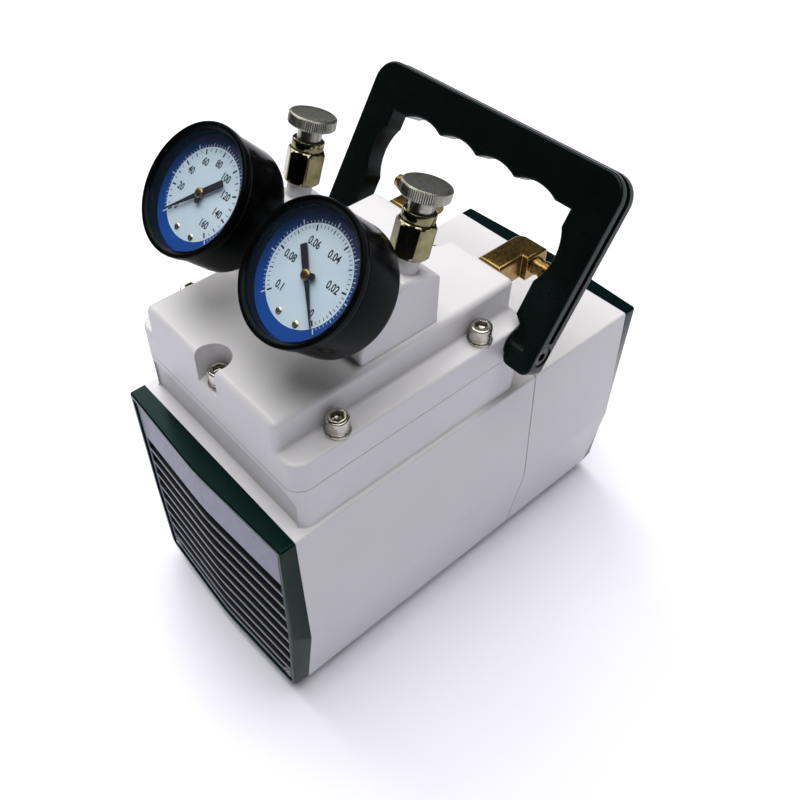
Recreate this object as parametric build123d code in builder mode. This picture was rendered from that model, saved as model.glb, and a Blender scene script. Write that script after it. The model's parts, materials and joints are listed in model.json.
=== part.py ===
"""Portable oil-free diaphragm vacuum pump with two gauges, two bleed valves and a folding handle.

Millimetres. +Z is up with the feet on Z 0, the front louvre faces -Y and the inlet side is +X.
Every separate piece is its own solid and goes to its own STEP file.
"""

import math
import os

from build123d import *

os.makedirs("parts", exist_ok=True)

# Driving sizes of the casing: widest at a soft bend part-way up each side
case_top_z = 134.0
case_bend_half = 65.2
case_half_length = 108.1
case_wall = 3.5
foot_height = 9.0

case_top_half = case_bend_half - 5.2
case_bottom_half = case_bend_half - 6.5
case_bend_z = foot_height + 0.4216 * (case_top_z - foot_height)
case_floor_z = foot_height + case_wall
case_top_radius = 1.4
case_bend_radius = 22.0
case_bottom_radius = 5.0
seam_groove = 0.7
tongue_length = 4.0
tongue_thickness = 1.6
tongue_gap = 0.1
boss_thickness = 3.5
running_gap = 0.05
screw_hole_gap = 0.2

# Pump head, all of it centred on the diaphragm and set back from the casing's front
head_half_length = 66.45
head_front_setback = 3.9
head_half_width = case_top_half - 2.3
head_front_y = head_front_setback - case_half_length
head_centre_y = head_front_y + head_half_length
head_rear_y = head_centre_y + head_half_length
head_corner_radius = 8.0
head_base_fillet = 0.9
head_parting_z = case_top_z + 24.7
head_recess_depth = 2.5
head_recess_half_width = head_half_width - 3.2
head_recess_top_z = head_parting_z - 3.5
shelf_z = head_parting_z + 16.0
cover_top_z = shelf_z + 16.0
plateau_half_width = head_half_width - 11.4
plateau_fillet = 3.2
plateau_edge_fillet = 3.0
plateau_crease_fillet = 2.0
shelf_fillet = 1.5
flush_step = 0.04
plate_radius = head_half_width - 6.0
diaphragm_radius = plate_radius - 1.7
head_bore_radius = diaphragm_radius - 8.0
chamber_radius = head_bore_radius - 2.0
diaphragm_thickness = 3.0
plate_thickness = 10.0
chamber_depth = 4.0
gasket_thickness = 1.0
chamber_web = 6.0
cover_roof = 4.0
case_seam_y = head_rear_y + 10.1

# End frames and louvred panels
frame_depth = 7.8
frame_bow = 3.0
frame_apex_radius = 180.0
frame_front_bend_half = case_bend_half - 4.5
frame_front_bottom_half = case_bottom_half - 0.5
frame_rim = 2.4
frame_web = 2.2
frame_web_width = 5.0
frame_bevel = 0.7
panel_setback = 1.2
panel_thickness = 4.5
panel_gap = 0.25
louvre_top_z = case_top_z - 30.0
slat_top_z = louvre_top_z - 9.2
slat_count = 8
slat_pitch = (slat_top_z - foot_height - 1.0) / slat_count
slat_thickness = 1.4
panel_margin = 1.5
panel_sill = 2.0
panel_screw_x = frame_front_bottom_half - 6.3
panel_screw_z = foot_height + 4.9
panel_screw_head = 2.2
panel_screw_head_height = 1.1
panel_screw_core = 1.5
panel_boss_radius = 3.6
panel_boss_length = 7.0
panel_hole_radius = panel_screw_core + running_gap
cross_slot_depth = 0.8
cross_slot_width = 0.7
cross_slot_length = 3.0

# Feet
foot_radius = 10.0
foot_x = case_bottom_half - 14.2
foot_y = case_half_length - 22.1
foot_fillet = 1.2
foot_screw_core = 2.0
foot_screw_head = 4.0
foot_screw_head_height = 2.4

# Head screws, M6 socket heads on a spring washer and a plain washer
screw_radius = 3.0
screw_head_radius = 5.0
screw_head_height = 6.0
screw_socket_half = 2.5
screw_length = 35.0
washer_radius = 5.6
washer_thickness = 1.0
washer_seat_margin = 0.35
spring_washer_radius = 4.9
spring_washer_thickness = 1.5
corner_screw_x = head_half_width - 5.7
corner_screw_dy = head_half_length - 26.4
middle_screw_dy = head_half_length - 6.4
pocket_dy = head_half_length - 4.3
pocket_radius = 8.2

# Valve discs between the plate and the cover
disc_radius = 8.5
disc_thickness = 1.0
disc_lift = 1.2
disc_x = chamber_radius - 21.0
disc_pin_radius = 2.5
disc_pin_core = 1.5
disc_pin_head_radius = 4.2
disc_pin_head_thickness = 0.8
disc_running_gap = 0.08
port_radius = 1.7
port_circle = 5.4
inlet_recess_depth = 2.6
disc_end_gap = 0.1

# Crank drive
motor_z = (case_floor_z + case_top_z - case_wall) / 2 - 1.5
shaft_radius = 6.0
crank_throw = 4.5
journal_radius = 12.5
journal_width = 12.0
rod_bearing_radius = 23.5
rod_eye_radius = 28.0
rod_plate_radius = head_bore_radius - 17.0
rod_plate_thickness = 4.0
rod_stem_width = 20.0
rubber_gap = 0.3
clamp_thickness = 1.6
clamp_screw_radius = 4.0
clamp_screw_head = 0.9
clamp_screw_length = 18.0
counterweight_radius = 29.0
counterweight_width = 10.0
side_gap = 0.4
crank_screw_radius = 2.0
crank_screw_head = 4.0
crank_washer_thickness = 1.6
press_gap = 0.02

# Motor, between the crank and the fan
fan_centre_y = case_half_length - 20.1
stator_radius = 50.0
stator_bore = 25.0
stator_front_y = head_centre_y + 45.75
stator_rear_y = fan_centre_y - 38.0
air_gap = 0.4
slot_count = 8
slot_width = 9.0
slot_inner = 29.0
slot_outer = 41.0
winding_gap = 0.2
winding_length = 12.0
bracket_depth = 18.0
bracket_wall = 4.0
bearing_radius = 16.0
bearing_width = 10.0
bearing_shoulder = 1.5
bearing_face_groove = 0.6
bolt_circle = 46.5
bolt_radius = 2.0
bolt_clearance_radius = 2.2
bolt_head_half = 3.5
bolt_head_height = 3.0
motor_foot_half = 34.0
motor_foot_height = 14.0
motor_foot_screw = 2.5
fan_radius = 45.0
fan_width = 12.0
fan_blades = 7

# Run capacitor
capacitor_radius = 15.0
capacitor_length = 44.0
capacitor_x = motor_foot_half - 71.0
cradle_width = 12.0
cradle_wall = 2.2
terminal_width = 6.3
terminal_thickness = 0.8

# Manifold block and its slanted faces
manifold_half_width = plateau_half_width - 2.8
manifold_front_y = head_centre_y - 20.45
manifold_lip_z = cover_top_z + 7.7
manifold_ridge_y = head_centre_y + 2.05
manifold_ridge_z = cover_top_z + 30.4
manifold_rear_y = head_centre_y + 21.75
manifold_rear_z = cover_top_z + 24.1
manifold_edge_radius = 1.4
manifold_ridge_radius = 2.24
manifold_screw_x = 20.0
manifold_screw_dy = 12.0
manifold_screw_radius = 2.5
passage_radius = 2.5
passage_y = head_centre_y - 0.25
passage_height = 13.0
manifold_screw_reach = 10.0

# Gauges, axis square to the manifold's slanted front
gauge_x = manifold_half_width - 9.6
gauge_face_y = head_centre_y - 40.95
gauge_face_z = cover_top_z + 53.0
gauge_tilt = 45.0
gauge_bezel_radius = 27.8
gauge_case_radius = gauge_bezel_radius - 0.8
gauge_inside_radius = gauge_bezel_radius - 2.6
gauge_window_radius = gauge_bezel_radius - 3.2
gauge_case_length = 26.0
gauge_bezel_height = 4.0
gauge_wall = 1.8
dial_depth = 6.2
dial_thickness = 1.0
lens_depth = 1.2
lens_thickness = 1.8
pointer_depth = 4.6
pointer_thickness = 0.5
pointer_reach = gauge_bezel_radius - 7.8
pointer_tail = 12.0
pointer_hub = 2.2
gauge_stem_length = 20.4
gauge_hex = 14.0
gauge_thread_radius = 4.8
gauge_thread_length = 10.0
gauge_neck_radius = 6.0
gauge_hex_height = 11.0
movement_floor_gap = 4.0
pointer_arbor = 1.5
arbor_radius = 0.8
dial_screw_head = 1.5
dial_screw_core = 0.8
dial_screw_places = ((-3.4, -16.3), (6.4, -16.4))
vacuum_zero_angle = -45.0
pressure_zero_angle = -135.0

# Bleed valves, axis square to the manifold's slanted top
valve_x = manifold_half_width - 9.4
valve_base_y = head_centre_y + 9.85
valve_base_z = cover_top_z + 27.95
valve_tilt = 17.3
boss_radius = 5.6
boss_height = 6.6
valve_hex = 15.0
valve_hex_top = 21.2
valve_collar_radius = 7.0
valve_collar_top = 25.5
knob_neck_radius = 5.25
knob_base = 31.0
knob_top = 36.2
knob_radius = 10.3
knob_grooves = 24
valve_thread_radius = 4.0
valve_thread_length = 7.0
valve_passage_length = 13.0
valve_seat_height = 8.0
valve_bleed_radius = 1.1
valve_throat_radius = 1.3
bleed_height = 12.5
knob_sleeve_base = 17.0
knob_end_gap = 0.3
needle_cone = 3.5
seat_gap = 0.3
needle_radius = 2.4
needle_tip_radius = 0.9
needle_lift = 3.0

# Brass hose elbows behind the head
elbow_x = plateau_half_width - 16.1
elbow_z = cover_top_z - 7.2
elbow_corner_y = head_rear_y + 21.8
elbow_body = 13.2
elbow_bore = 2.6
elbow_thread_radius = 4.8
elbow_thread_length = 9.0
barb_tip_x = elbow_x + 23.3
barb_radius = 4.3
barb_count = 3
barb_land = 1.2
barb_step_down = 0.9

# Folding handle, drawn along its own legs from the pivot
pivot_y = head_rear_y - 8.4
pivot_z = shelf_z - 6.9
handle_lean = 30.5
handle_side_gap = 0.7
handle_leg_width = 15.1
handle_half_width = head_half_width + handle_side_gap + handle_leg_width
handle_thickness = 12.0
handle_top = 82.2
handle_bottom = 10.5
handle_inside_half = handle_half_width - handle_leg_width - 3.7
handle_inside_half_low = handle_half_width - handle_leg_width
handle_step_low = 8.5
handle_step_high = 11.5
handle_corner_radius = 11.0
handle_heel_radius = 4.0
scallop_count = 4
scallop_pitch = handle_inside_half * 0.42230
scallop_cusp = handle_top - 20.9
scallop_depth = 3.0
cusp_fillet = 1.6
handle_edge_radius = 1.2
handle_groove_width = 3.4
handle_groove_depth = 1.3
handle_bush_radius = 6.0
handle_pin_radius = 4.0
handle_cap_radius = 4.7
handle_cap_depth = 4.0
handle_bush_length = 8.0
handle_bush_flange = 0.6
groove_bottom = 7.0
pivot_thread_length = 12.0

# Switch and cable gland on the left side, near the rear
switch_y = case_half_length - 30.1
switch_z = case_top_z - 38.0
switch_length = 21.0
switch_width = 15.0
switch_bezel = 2.0
switch_body_depth = 14.0
switch_pocket_depth = 5.0
rocker_swing = 16.0
rocker_stub_radius = 1.6
gland_y = case_half_length - 24.1
gland_z = foot_height + 29.0
gland_hex = 15.0
gland_bore = 3.6
gland_wall = 2.0
gland_thread_wall = 2.4
gland_reach = 10.0
gland_hex_height = 5.0
gland_thread_length = 8.0


def save(builder, name):
    """Label the finished part and write its STEP file."""
    builder.part.label = name
    export_step(builder.part, f"parts/{name}.step")


def side_section(half_top, half_bend, half_bottom, inset, top_radius):
    """Closed outline seen from the front, moved inward by inset, in X and Z."""
    top = case_top_z - inset
    bottom = foot_height + inset
    with BuildSketch() as section:
        with BuildLine():
            Polyline(
                (half_top - inset, top),
                (half_bend - inset, case_bend_z),
                (half_bottom - inset, bottom),
                (inset - half_bottom, bottom),
                (inset - half_bend, case_bend_z),
                (inset - half_top, top),
                close=True,
            )
        make_face()
        corners = section.vertices().group_by(Axis.Y)
        fillet(corners[1], case_bend_radius)
        corners = section.vertices().group_by(Axis.Y)
        fillet(corners[-1], top_radius)
        corners = section.vertices().group_by(Axis.Y)
        fillet(corners[0], max(case_bottom_radius - inset, 1.0))
    return section.sketch_local


def case_section(inset):
    """Outline of the casing, moved inward by inset."""
    return side_section(case_top_half, case_bend_half, case_bottom_half, inset, case_top_radius)


def frame_section(depth, inset):
    """Outline of an end frame at a depth in front of the casing, moved inward by inset."""
    share = depth / frame_depth
    half_bend = case_bend_half + (frame_front_bend_half - case_bend_half) * share
    half_bottom = case_bottom_half + (frame_front_bottom_half - case_bottom_half) * share
    return side_section(case_top_half, half_bend, half_bottom, inset, case_top_radius)


def bow_outline(front_shift, rear_y):
    """Plan outline whose front edge is bowed like a shallow roof with a rounded ridge."""
    half = case_bend_half + case_wall
    slope = frame_bow / case_top_half
    lift = frame_apex_radius * (math.sqrt(1 + slope * slope) - 1)
    apex_y = -(case_half_length + frame_depth + frame_bow + lift) + front_shift
    edge_y = apex_y + half * slope
    with BuildSketch() as outline:
        with BuildLine():
            Polyline(
                (-half, rear_y),
                (-half, edge_y),
                (0, apex_y),
                (half, edge_y),
                (half, rear_y),
                close=True,
            )
        make_face()
        fillet(outline.vertices().sort_by(Axis.Y)[0], frame_apex_radius)
    return outline.sketch_local


def head_screw_places():
    """XY places of the four corner screws and the front and rear middle screws."""
    corners = [
        (x, head_centre_y + dy)
        for x in (-corner_screw_x, corner_screw_x)
        for dy in (-corner_screw_dy, corner_screw_dy)
    ]
    middle = [(0, head_centre_y + dy) for dy in (-middle_screw_dy, middle_screw_dy)]
    return corners + middle


# Derived levels and planes
front_end_y = -case_half_length
web_y = front_end_y - frame_web
panel_seat_y = case_half_length + frame_depth - panel_setback
rod_centre_z = motor_z + crank_throw
diaphragm_z = head_parting_z - diaphragm_thickness
plate_ceiling_z = head_parting_z + chamber_depth
plate_top_z = head_parting_z + plate_thickness
chamber_floor_z = plate_top_z + gasket_thickness
chamber_roof_z = cover_top_z - cover_roof
stator_length = stator_rear_y - stator_front_y
bracket_middles_y = (stator_front_y - bracket_depth / 2, stator_rear_y + bracket_depth / 2)
capacitor_z = case_floor_z + case_wall + capacitor_radius + 0.5
capacitor_front_y = front_end_y + 14
gauge_normal = (0, -math.sin(math.radians(gauge_tilt)), math.cos(math.radians(gauge_tilt)))
valve_axis = (0, math.sin(math.radians(valve_tilt)), math.cos(math.radians(valve_tilt)))
handle_normal = (0, -math.cos(math.radians(handle_lean)), math.sin(math.radians(handle_lean)))
handle_plane = Plane(origin=(0, pivot_y, pivot_z), x_dir=(1, 0, 0), z_dir=handle_normal)
head_centre = (0, head_centre_y)
inward_from_front = (Align.CENTER, Align.CENTER, Align.MAX)
inward_from_rear = (Align.CENTER, Align.CENTER, Align.MIN)


def gauge_plane(side):
    """Plane of a gauge's front, looking out along the gauge."""
    return Plane(origin=(side * gauge_x, gauge_face_y, gauge_face_z), x_dir=(1, 0, 0), z_dir=gauge_normal)


def valve_plane(side):
    """Plane on the manifold's slanted top, looking up along a bleed valve."""
    return Plane(origin=(side * valve_x, valve_base_y, valve_base_z), x_dir=(1, 0, 0), z_dir=valve_axis)


def left_wall_plane(y, z):
    """Plane on the left casing side at a height, looking out."""
    if z > case_bend_z:
        run = case_top_half - case_bend_half
        rise = case_top_z - case_bend_z
        x = case_bend_half + run * (z - case_bend_z) / rise
    else:
        run = case_bend_half - case_bottom_half
        rise = case_bend_z - foot_height
        x = case_bottom_half + run * (z - foot_height) / rise
    return Plane(origin=(-x, y, z), x_dir=(0, -1, 0), z_dir=(-rise, 0, -run))


switch_plane = left_wall_plane(switch_y, switch_z)
gland_plane = left_wall_plane(gland_y, gland_z)

# -------------------------------- front casing with the raised head block
with BuildPart() as pump_housing:
    with BuildSketch(Plane.XZ.offset(-case_seam_y)):
        add(case_section(0))
    extrude(amount=case_seam_y + case_half_length)
    with BuildSketch(Plane.XY.offset(case_top_z)):
        with Locations(head_centre):
            RectangleRounded(2 * head_half_width, 2 * head_half_length, head_corner_radius)
    extrude(amount=head_parting_z - case_top_z)
    ledge = pump_housing.edges().filter_by_position(Axis.Z, case_top_z - 0.1, case_top_z + 0.1)
    head_foot = ledge.filter_by_position(Axis.X, -head_half_width - 0.1, head_half_width + 0.1)
    fillet(head_foot.filter_by_position(Axis.Y, head_front_y - 0.1, head_rear_y + 0.1), head_base_fillet)
    with BuildSketch(Plane.XZ.offset(-head_front_y - head_recess_depth)) as recess:
        with BuildLine():
            Polyline(
                (-head_recess_half_width, case_top_z),
                (-head_recess_half_width, head_recess_top_z),
                (head_recess_half_width, head_recess_top_z),
                (head_recess_half_width, case_top_z),
                close=True,
            )
        make_face()
        fillet(recess.vertices().group_by(Axis.Y)[-1], head_corner_radius)
    extrude(amount=head_recess_depth + head_base_fillet, mode=Mode.SUBTRACT)
    with BuildSketch(Plane.XZ.offset(-case_seam_y)):
        add(case_section(case_wall))
    extrude(amount=case_seam_y + case_half_length, mode=Mode.SUBTRACT)
    with BuildSketch(Plane.XZ.offset(-case_seam_y)):
        add(case_section(case_wall - tongue_thickness - tongue_gap))
    extrude(amount=tongue_length, mode=Mode.SUBTRACT)
    with BuildSketch(Plane.XZ.offset(-case_seam_y)):
        add(case_section(0))
        add(case_section(seam_groove), mode=Mode.SUBTRACT)
    extrude(amount=seam_groove, mode=Mode.SUBTRACT)
    with BuildSketch(Plane.XY.offset(case_floor_z)):
        with Locations((foot_x, -foot_y), (-foot_x, -foot_y)):
            Circle(foot_radius * 0.7)
    extrude(amount=boss_thickness)
    with Locations((0, head_centre_y, head_parting_z)):
        Hole(head_bore_radius, 2 * (head_parting_z - case_top_z))
        Hole(diaphragm_radius + rubber_gap, diaphragm_thickness)
    with Locations([(x, y, head_parting_z) for x, y in head_screw_places()]):
        Hole(screw_radius + running_gap, screw_length / 2)
    with Locations((foot_x, -foot_y, foot_height), (-foot_x, -foot_y, foot_height)):
        Cylinder(foot_screw_core + running_gap, 4 * case_wall, mode=Mode.SUBTRACT)
    with Locations([(x, bracket_middles_y[0], foot_height) for x in (-motor_foot_half, motor_foot_half)]):
        Cylinder(motor_foot_screw + running_gap, 4 * case_wall, mode=Mode.SUBTRACT)
    with Locations([(x, front_end_y, panel_screw_z + 1) for x in (-panel_screw_x, panel_screw_x)]):
        Cylinder(panel_boss_radius, panel_boss_length, rotation=(90, 0, 0), align=inward_from_front)
    with Locations([(x, front_end_y, panel_screw_z) for x in (-panel_screw_x, panel_screw_x)]):
        Cylinder(panel_hole_radius, 5 * panel_boss_length, rotation=(90, 0, 0), mode=Mode.SUBTRACT)
    with BuildSketch(Plane.XZ.offset(-capacitor_front_y - capacitor_length / 2 - cradle_width / 2)):
        with Locations((capacitor_x, capacitor_z)):
            Circle(capacitor_radius + cradle_wall)
        with Locations((capacitor_x, (case_floor_z + capacitor_z) / 2 - 0.5)):
            Rectangle(2 * capacitor_radius - 2, capacitor_z - case_floor_z + 1)
        with Locations((capacitor_x, capacitor_z)):
            Circle(capacitor_radius + 0.05, mode=Mode.SUBTRACT)
        with Locations((capacitor_x, capacitor_z + capacitor_radius)):
            Rectangle(capacitor_radius, capacitor_radius, mode=Mode.SUBTRACT)
    extrude(amount=cradle_width)
save(pump_housing, "pump_housing")

# -------------------------------- rear casing with the switch and gland openings
with BuildPart() as rear_casing:
    with BuildSketch(Plane.XZ.offset(-case_half_length)):
        add(case_section(0))
        add(case_section(case_wall), mode=Mode.SUBTRACT)
    extrude(amount=case_half_length - case_seam_y)
    with BuildSketch(Plane.XZ.offset(-case_seam_y - case_wall)):
        add(case_section(case_wall - tongue_thickness))
        add(case_section(case_wall), mode=Mode.SUBTRACT)
    extrude(amount=tongue_length + case_wall - tongue_gap)
    with BuildSketch(Plane.XY.offset(case_floor_z)):
        with Locations((foot_x, foot_y), (-foot_x, foot_y)):
            Circle(foot_radius * 0.7)
    extrude(amount=case_wall)
    with Locations((foot_x, foot_y, foot_height), (-foot_x, foot_y, foot_height)):
        Cylinder(foot_screw_core + running_gap, 4 * case_wall, mode=Mode.SUBTRACT)
    with Locations([(x, bracket_middles_y[1], foot_height) for x in (-motor_foot_half, motor_foot_half)]):
        Cylinder(motor_foot_screw + running_gap, 4 * case_wall, mode=Mode.SUBTRACT)
    with Locations([(x, case_half_length, panel_screw_z + 1) for x in (-panel_screw_x, panel_screw_x)]):
        Cylinder(panel_boss_radius, panel_boss_length, rotation=(90, 0, 0), align=inward_from_rear)
    with Locations([(x, case_half_length, panel_screw_z) for x in (-panel_screw_x, panel_screw_x)]):
        Cylinder(panel_hole_radius, 5 * panel_boss_length, rotation=(90, 0, 0), mode=Mode.SUBTRACT)
    with BuildSketch(switch_plane.offset(case_wall)):
        Rectangle(switch_length - 2, switch_width - 2)
    extrude(amount=-3 * case_wall, mode=Mode.SUBTRACT)
    with BuildSketch(gland_plane.offset(case_wall)):
        Circle(gland_bore + gland_thread_wall + running_gap)
    extrude(amount=-3 * case_wall, mode=Mode.SUBTRACT)
save(rear_casing, "rear_casing")

# -------------------------------- end frames
with BuildPart() as front_frame:
    full_depth = frame_depth + frame_bow + 1
    with BuildSketch(Plane.XZ.offset(case_half_length)):
        add(frame_section(0, 0))
    with BuildSketch(Plane.XZ.offset(case_half_length + full_depth)):
        add(frame_section(full_depth, 0))
    loft(ruled=True)
    with BuildSketch(Plane.XY):
        add(bow_outline(0, front_end_y))
    extrude(amount=case_top_z + 1, mode=Mode.INTERSECT)
    rim_faces = front_frame.faces().filter_by(lambda face: face.normal_at().Y < -0.9)
    rim_edges = rim_faces.edges()
    chamfer(rim_edges.filter_by(lambda edge: abs(edge.center().X) > 1), frame_bevel)
    with BuildSketch(Plane.XZ.offset(-web_y)):
        add(frame_section(frame_depth, frame_rim))
    extrude(amount=full_depth, mode=Mode.SUBTRACT)
    with BuildSketch(Plane.XZ.offset(case_half_length)):
        add(frame_section(frame_depth, frame_rim + frame_web_width))
    extrude(amount=full_depth, mode=Mode.SUBTRACT)
    with BuildSketch(Plane.XZ.offset(case_half_length)):
        with Locations((panel_screw_x, panel_screw_z), (-panel_screw_x, panel_screw_z)):
            Circle(1.8)
    extrude(amount=full_depth, mode=Mode.SUBTRACT)
save(front_frame, "front_frame")

with BuildPart() as rear_frame:
    add(front_frame.part, rotation=(0, 0, 180))
save(rear_frame, "rear_frame")

# -------------------------------- louvred panels
with BuildPart() as louvre_openings:
    edges_z = [louvre_top_z]
    for index in range(slat_count):
        slat_z = slat_top_z - index * slat_pitch
        edges_z += [slat_z + slat_thickness / 2, slat_z - slat_thickness / 2]
    edges_z += [foot_height + frame_rim + panel_gap + panel_sill]
    with BuildSketch(Plane.XZ.offset(case_half_length)):
        for upper, lower in zip(edges_z[0::2], edges_z[1::2]):
            with Locations((0, (upper + lower) / 2)):
                Rectangle(2 * case_bend_half, upper - lower)
        add(frame_section(frame_depth, frame_rim + panel_gap + panel_margin), mode=Mode.INTERSECT)
        with Locations((panel_screw_x, panel_screw_z), (-panel_screw_x, panel_screw_z)):
            Circle(panel_boss_radius, mode=Mode.SUBTRACT)
    extrude(amount=frame_depth + 2 * frame_bow)

with BuildPart() as panel_hollow:
    with BuildSketch(Plane.XZ.offset(case_half_length)):
        add(frame_section(frame_depth, frame_rim + panel_gap + panel_margin))
    extrude(amount=frame_depth + frame_bow)
    with BuildSketch(Plane.XY):
        add(bow_outline(panel_setback + panel_thickness, front_end_y))
    extrude(amount=case_top_z, mode=Mode.INTERSECT)

with BuildPart() as front_grille:
    with BuildSketch(Plane.XZ.offset(-web_y)):
        add(frame_section(frame_depth, frame_rim + panel_gap))
    extrude(amount=frame_depth + frame_bow)
    with BuildSketch(Plane.XY):
        add(bow_outline(panel_setback, front_end_y))
    extrude(amount=case_top_z, mode=Mode.INTERSECT)
    add(panel_hollow.part, mode=Mode.SUBTRACT)
    add(louvre_openings.part, mode=Mode.SUBTRACT)
    with BuildSketch(Plane.XZ.offset(panel_seat_y)):
        with Locations((panel_screw_x, panel_screw_z), (-panel_screw_x, panel_screw_z)):
            Circle(panel_screw_head + 0.1)
    extrude(amount=frame_depth, mode=Mode.SUBTRACT)
    with Locations((panel_screw_x, web_y, panel_screw_z), (-panel_screw_x, web_y, panel_screw_z)):
        Cylinder(panel_hole_radius, 4 * frame_depth, rotation=(90, 0, 0), mode=Mode.SUBTRACT)
save(front_grille, "front_grille")

with BuildPart() as rear_grille:
    add(front_grille.part, rotation=(0, 0, 180))
save(rear_grille, "rear_grille")

# -------------------------------- small screws, feet and their fasteners
with BuildPart() as grille_screws:
    for end in (-1, 1):
        for x in (-panel_screw_x, panel_screw_x):
            seat = Plane(origin=(x, end * panel_seat_y, panel_screw_z), x_dir=(1, 0, 0), z_dir=(0, end, 0))
            with BuildSketch(seat):
                Circle(panel_screw_head)
            extrude(amount=panel_screw_head_height)
            with BuildSketch(seat):
                Circle(panel_screw_core)
            extrude(amount=-frame_depth - panel_boss_length + 1)
            with BuildSketch(seat.offset(panel_screw_head_height - cross_slot_depth)):
                Rectangle(cross_slot_width, cross_slot_length)
                Rectangle(cross_slot_length, cross_slot_width)
            extrude(amount=panel_screw_head_height, mode=Mode.SUBTRACT)
save(grille_screws, "grille_screws")

with BuildPart() as rubber_feet:
    with BuildSketch(Plane.XY):
        with GridLocations(2 * foot_x, 2 * foot_y, 2, 2):
            Circle(foot_radius)
    extrude(amount=foot_height)
    fillet(rubber_feet.edges().group_by(Axis.Z)[0], foot_fillet)
    with BuildSketch(Plane.XY):
        with GridLocations(2 * foot_x, 2 * foot_y, 2, 2):
            Circle(foot_radius * 0.5)
    extrude(amount=foot_height / 2, mode=Mode.SUBTRACT)
    with BuildSketch(Plane.XY):
        with GridLocations(2 * foot_x, 2 * foot_y, 2, 2):
            Circle(foot_screw_core + running_gap)
    extrude(amount=foot_height, mode=Mode.SUBTRACT)
save(rubber_feet, "rubber_feet")

with BuildPart() as foot_screws:
    with BuildSketch(Plane.XY.offset(foot_height / 2)):
        with GridLocations(2 * foot_x, 2 * foot_y, 2, 2):
            Circle(foot_screw_head)
    extrude(amount=-foot_screw_head_height)
    with BuildSketch(Plane.XY.offset(foot_height / 2)):
        with GridLocations(2 * foot_x, 2 * foot_y, 2, 2):
            Circle(foot_screw_core)
    extrude(amount=foot_height / 2 + 2 * case_wall - 0.5)
    with BuildSketch(Plane.XY):
        with GridLocations(2 * foot_x, 2 * foot_y, 2, 2):
            Rectangle(0.9, 5)
            Rectangle(5, 0.9)
    extrude(amount=foot_height / 2 - 1.2, mode=Mode.SUBTRACT)
save(foot_screws, "foot_screws")

# -------------------------------- head cover
with BuildPart() as head_cover:
    with BuildSketch(Plane.XY.offset(head_parting_z)):
        with Locations(head_centre):
            RectangleRounded(2 * head_half_width, 2 * head_half_length, head_corner_radius)
    extrude(amount=shelf_z - head_parting_z)
    fillet(head_cover.edges().group_by(Axis.Z)[-1], shelf_fillet)
    with BuildSketch(Plane.XY.offset(head_parting_z + plate_thickness)):
        with Locations(head_centre):
            RectangleRounded(2 * plateau_half_width, 2 * (head_half_length - flush_step), plateau_fillet)
    extrude(amount=cover_top_z - head_parting_z - plate_thickness)
    fillet(head_cover.edges().group_by(Axis.Z)[-1], plateau_edge_fillet)
    side_edges = head_cover.edges().filter_by(Axis.Y)
    shelf_level = side_edges.filter_by_position(Axis.Z, shelf_z - 0.1, shelf_z + 0.1)
    creases = shelf_level.filter_by(lambda edge: abs(abs(edge.center().X) - plateau_half_width) < 0.1)
    fillet(creases, plateau_crease_fillet)
    for end in (-1, 1):
        with BuildSketch(Plane.XY.offset(shelf_z)):
            with Locations((0, head_centre_y + end * pocket_dy)):
                Circle(pocket_radius)
        extrude(amount=cover_top_z, mode=Mode.SUBTRACT)
    with Locations([(x, y, shelf_z) for x, y in head_screw_places()]):
        Hole(screw_radius + screw_hole_gap, shelf_z - head_parting_z)
    with BuildSketch(Plane.XY.offset(shelf_z)):
        with Locations(head_screw_places()):
            Circle(washer_radius + washer_seat_margin)
    extrude(amount=4 * washer_thickness, mode=Mode.SUBTRACT)
    with BuildSketch(Plane.XY.offset(head_parting_z)):
        with Locations(head_centre):
            Circle(plate_radius + rubber_gap / 2)
    extrude(amount=plate_thickness + gasket_thickness, mode=Mode.SUBTRACT)
    with BuildSketch(Plane.XY.offset(chamber_floor_z)):
        with Locations(head_centre):
            Circle(chamber_radius)
            Rectangle(chamber_web, 3 * chamber_radius, mode=Mode.SUBTRACT)
    extrude(amount=chamber_roof_z - chamber_floor_z, mode=Mode.SUBTRACT)
    with Locations((gauge_x, passage_y, cover_top_z), (-gauge_x, passage_y, cover_top_z)):
        Cylinder(passage_radius, 4 * cover_roof, mode=Mode.SUBTRACT)
    with Locations((0, head_centre_y, cover_top_z)):
        with GridLocations(2 * manifold_screw_x, 2 * manifold_screw_dy, 2, 2):
            Cylinder(manifold_screw_radius + running_gap, 4 * cover_roof, mode=Mode.SUBTRACT)
    with BuildSketch(Plane.XZ.offset(-head_rear_y)):
        with Locations((elbow_x, elbow_z), (-elbow_x, elbow_z)):
            Circle(elbow_bore)
    extrude(amount=head_half_length, mode=Mode.SUBTRACT)
    with BuildSketch(Plane.XZ.offset(-head_rear_y)):
        with Locations((elbow_x, elbow_z), (-elbow_x, elbow_z)):
            Circle(elbow_thread_radius + running_gap)
    extrude(amount=elbow_thread_length, mode=Mode.SUBTRACT)
    for side in (-1, 1):
        with BuildSketch(Plane.YZ.offset(side * head_half_width)):
            with Locations((pivot_y, pivot_z)):
                Circle(screw_radius + running_gap)
        extrude(amount=-side * pivot_thread_length, mode=Mode.SUBTRACT)
save(head_cover, "head_cover")

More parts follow.
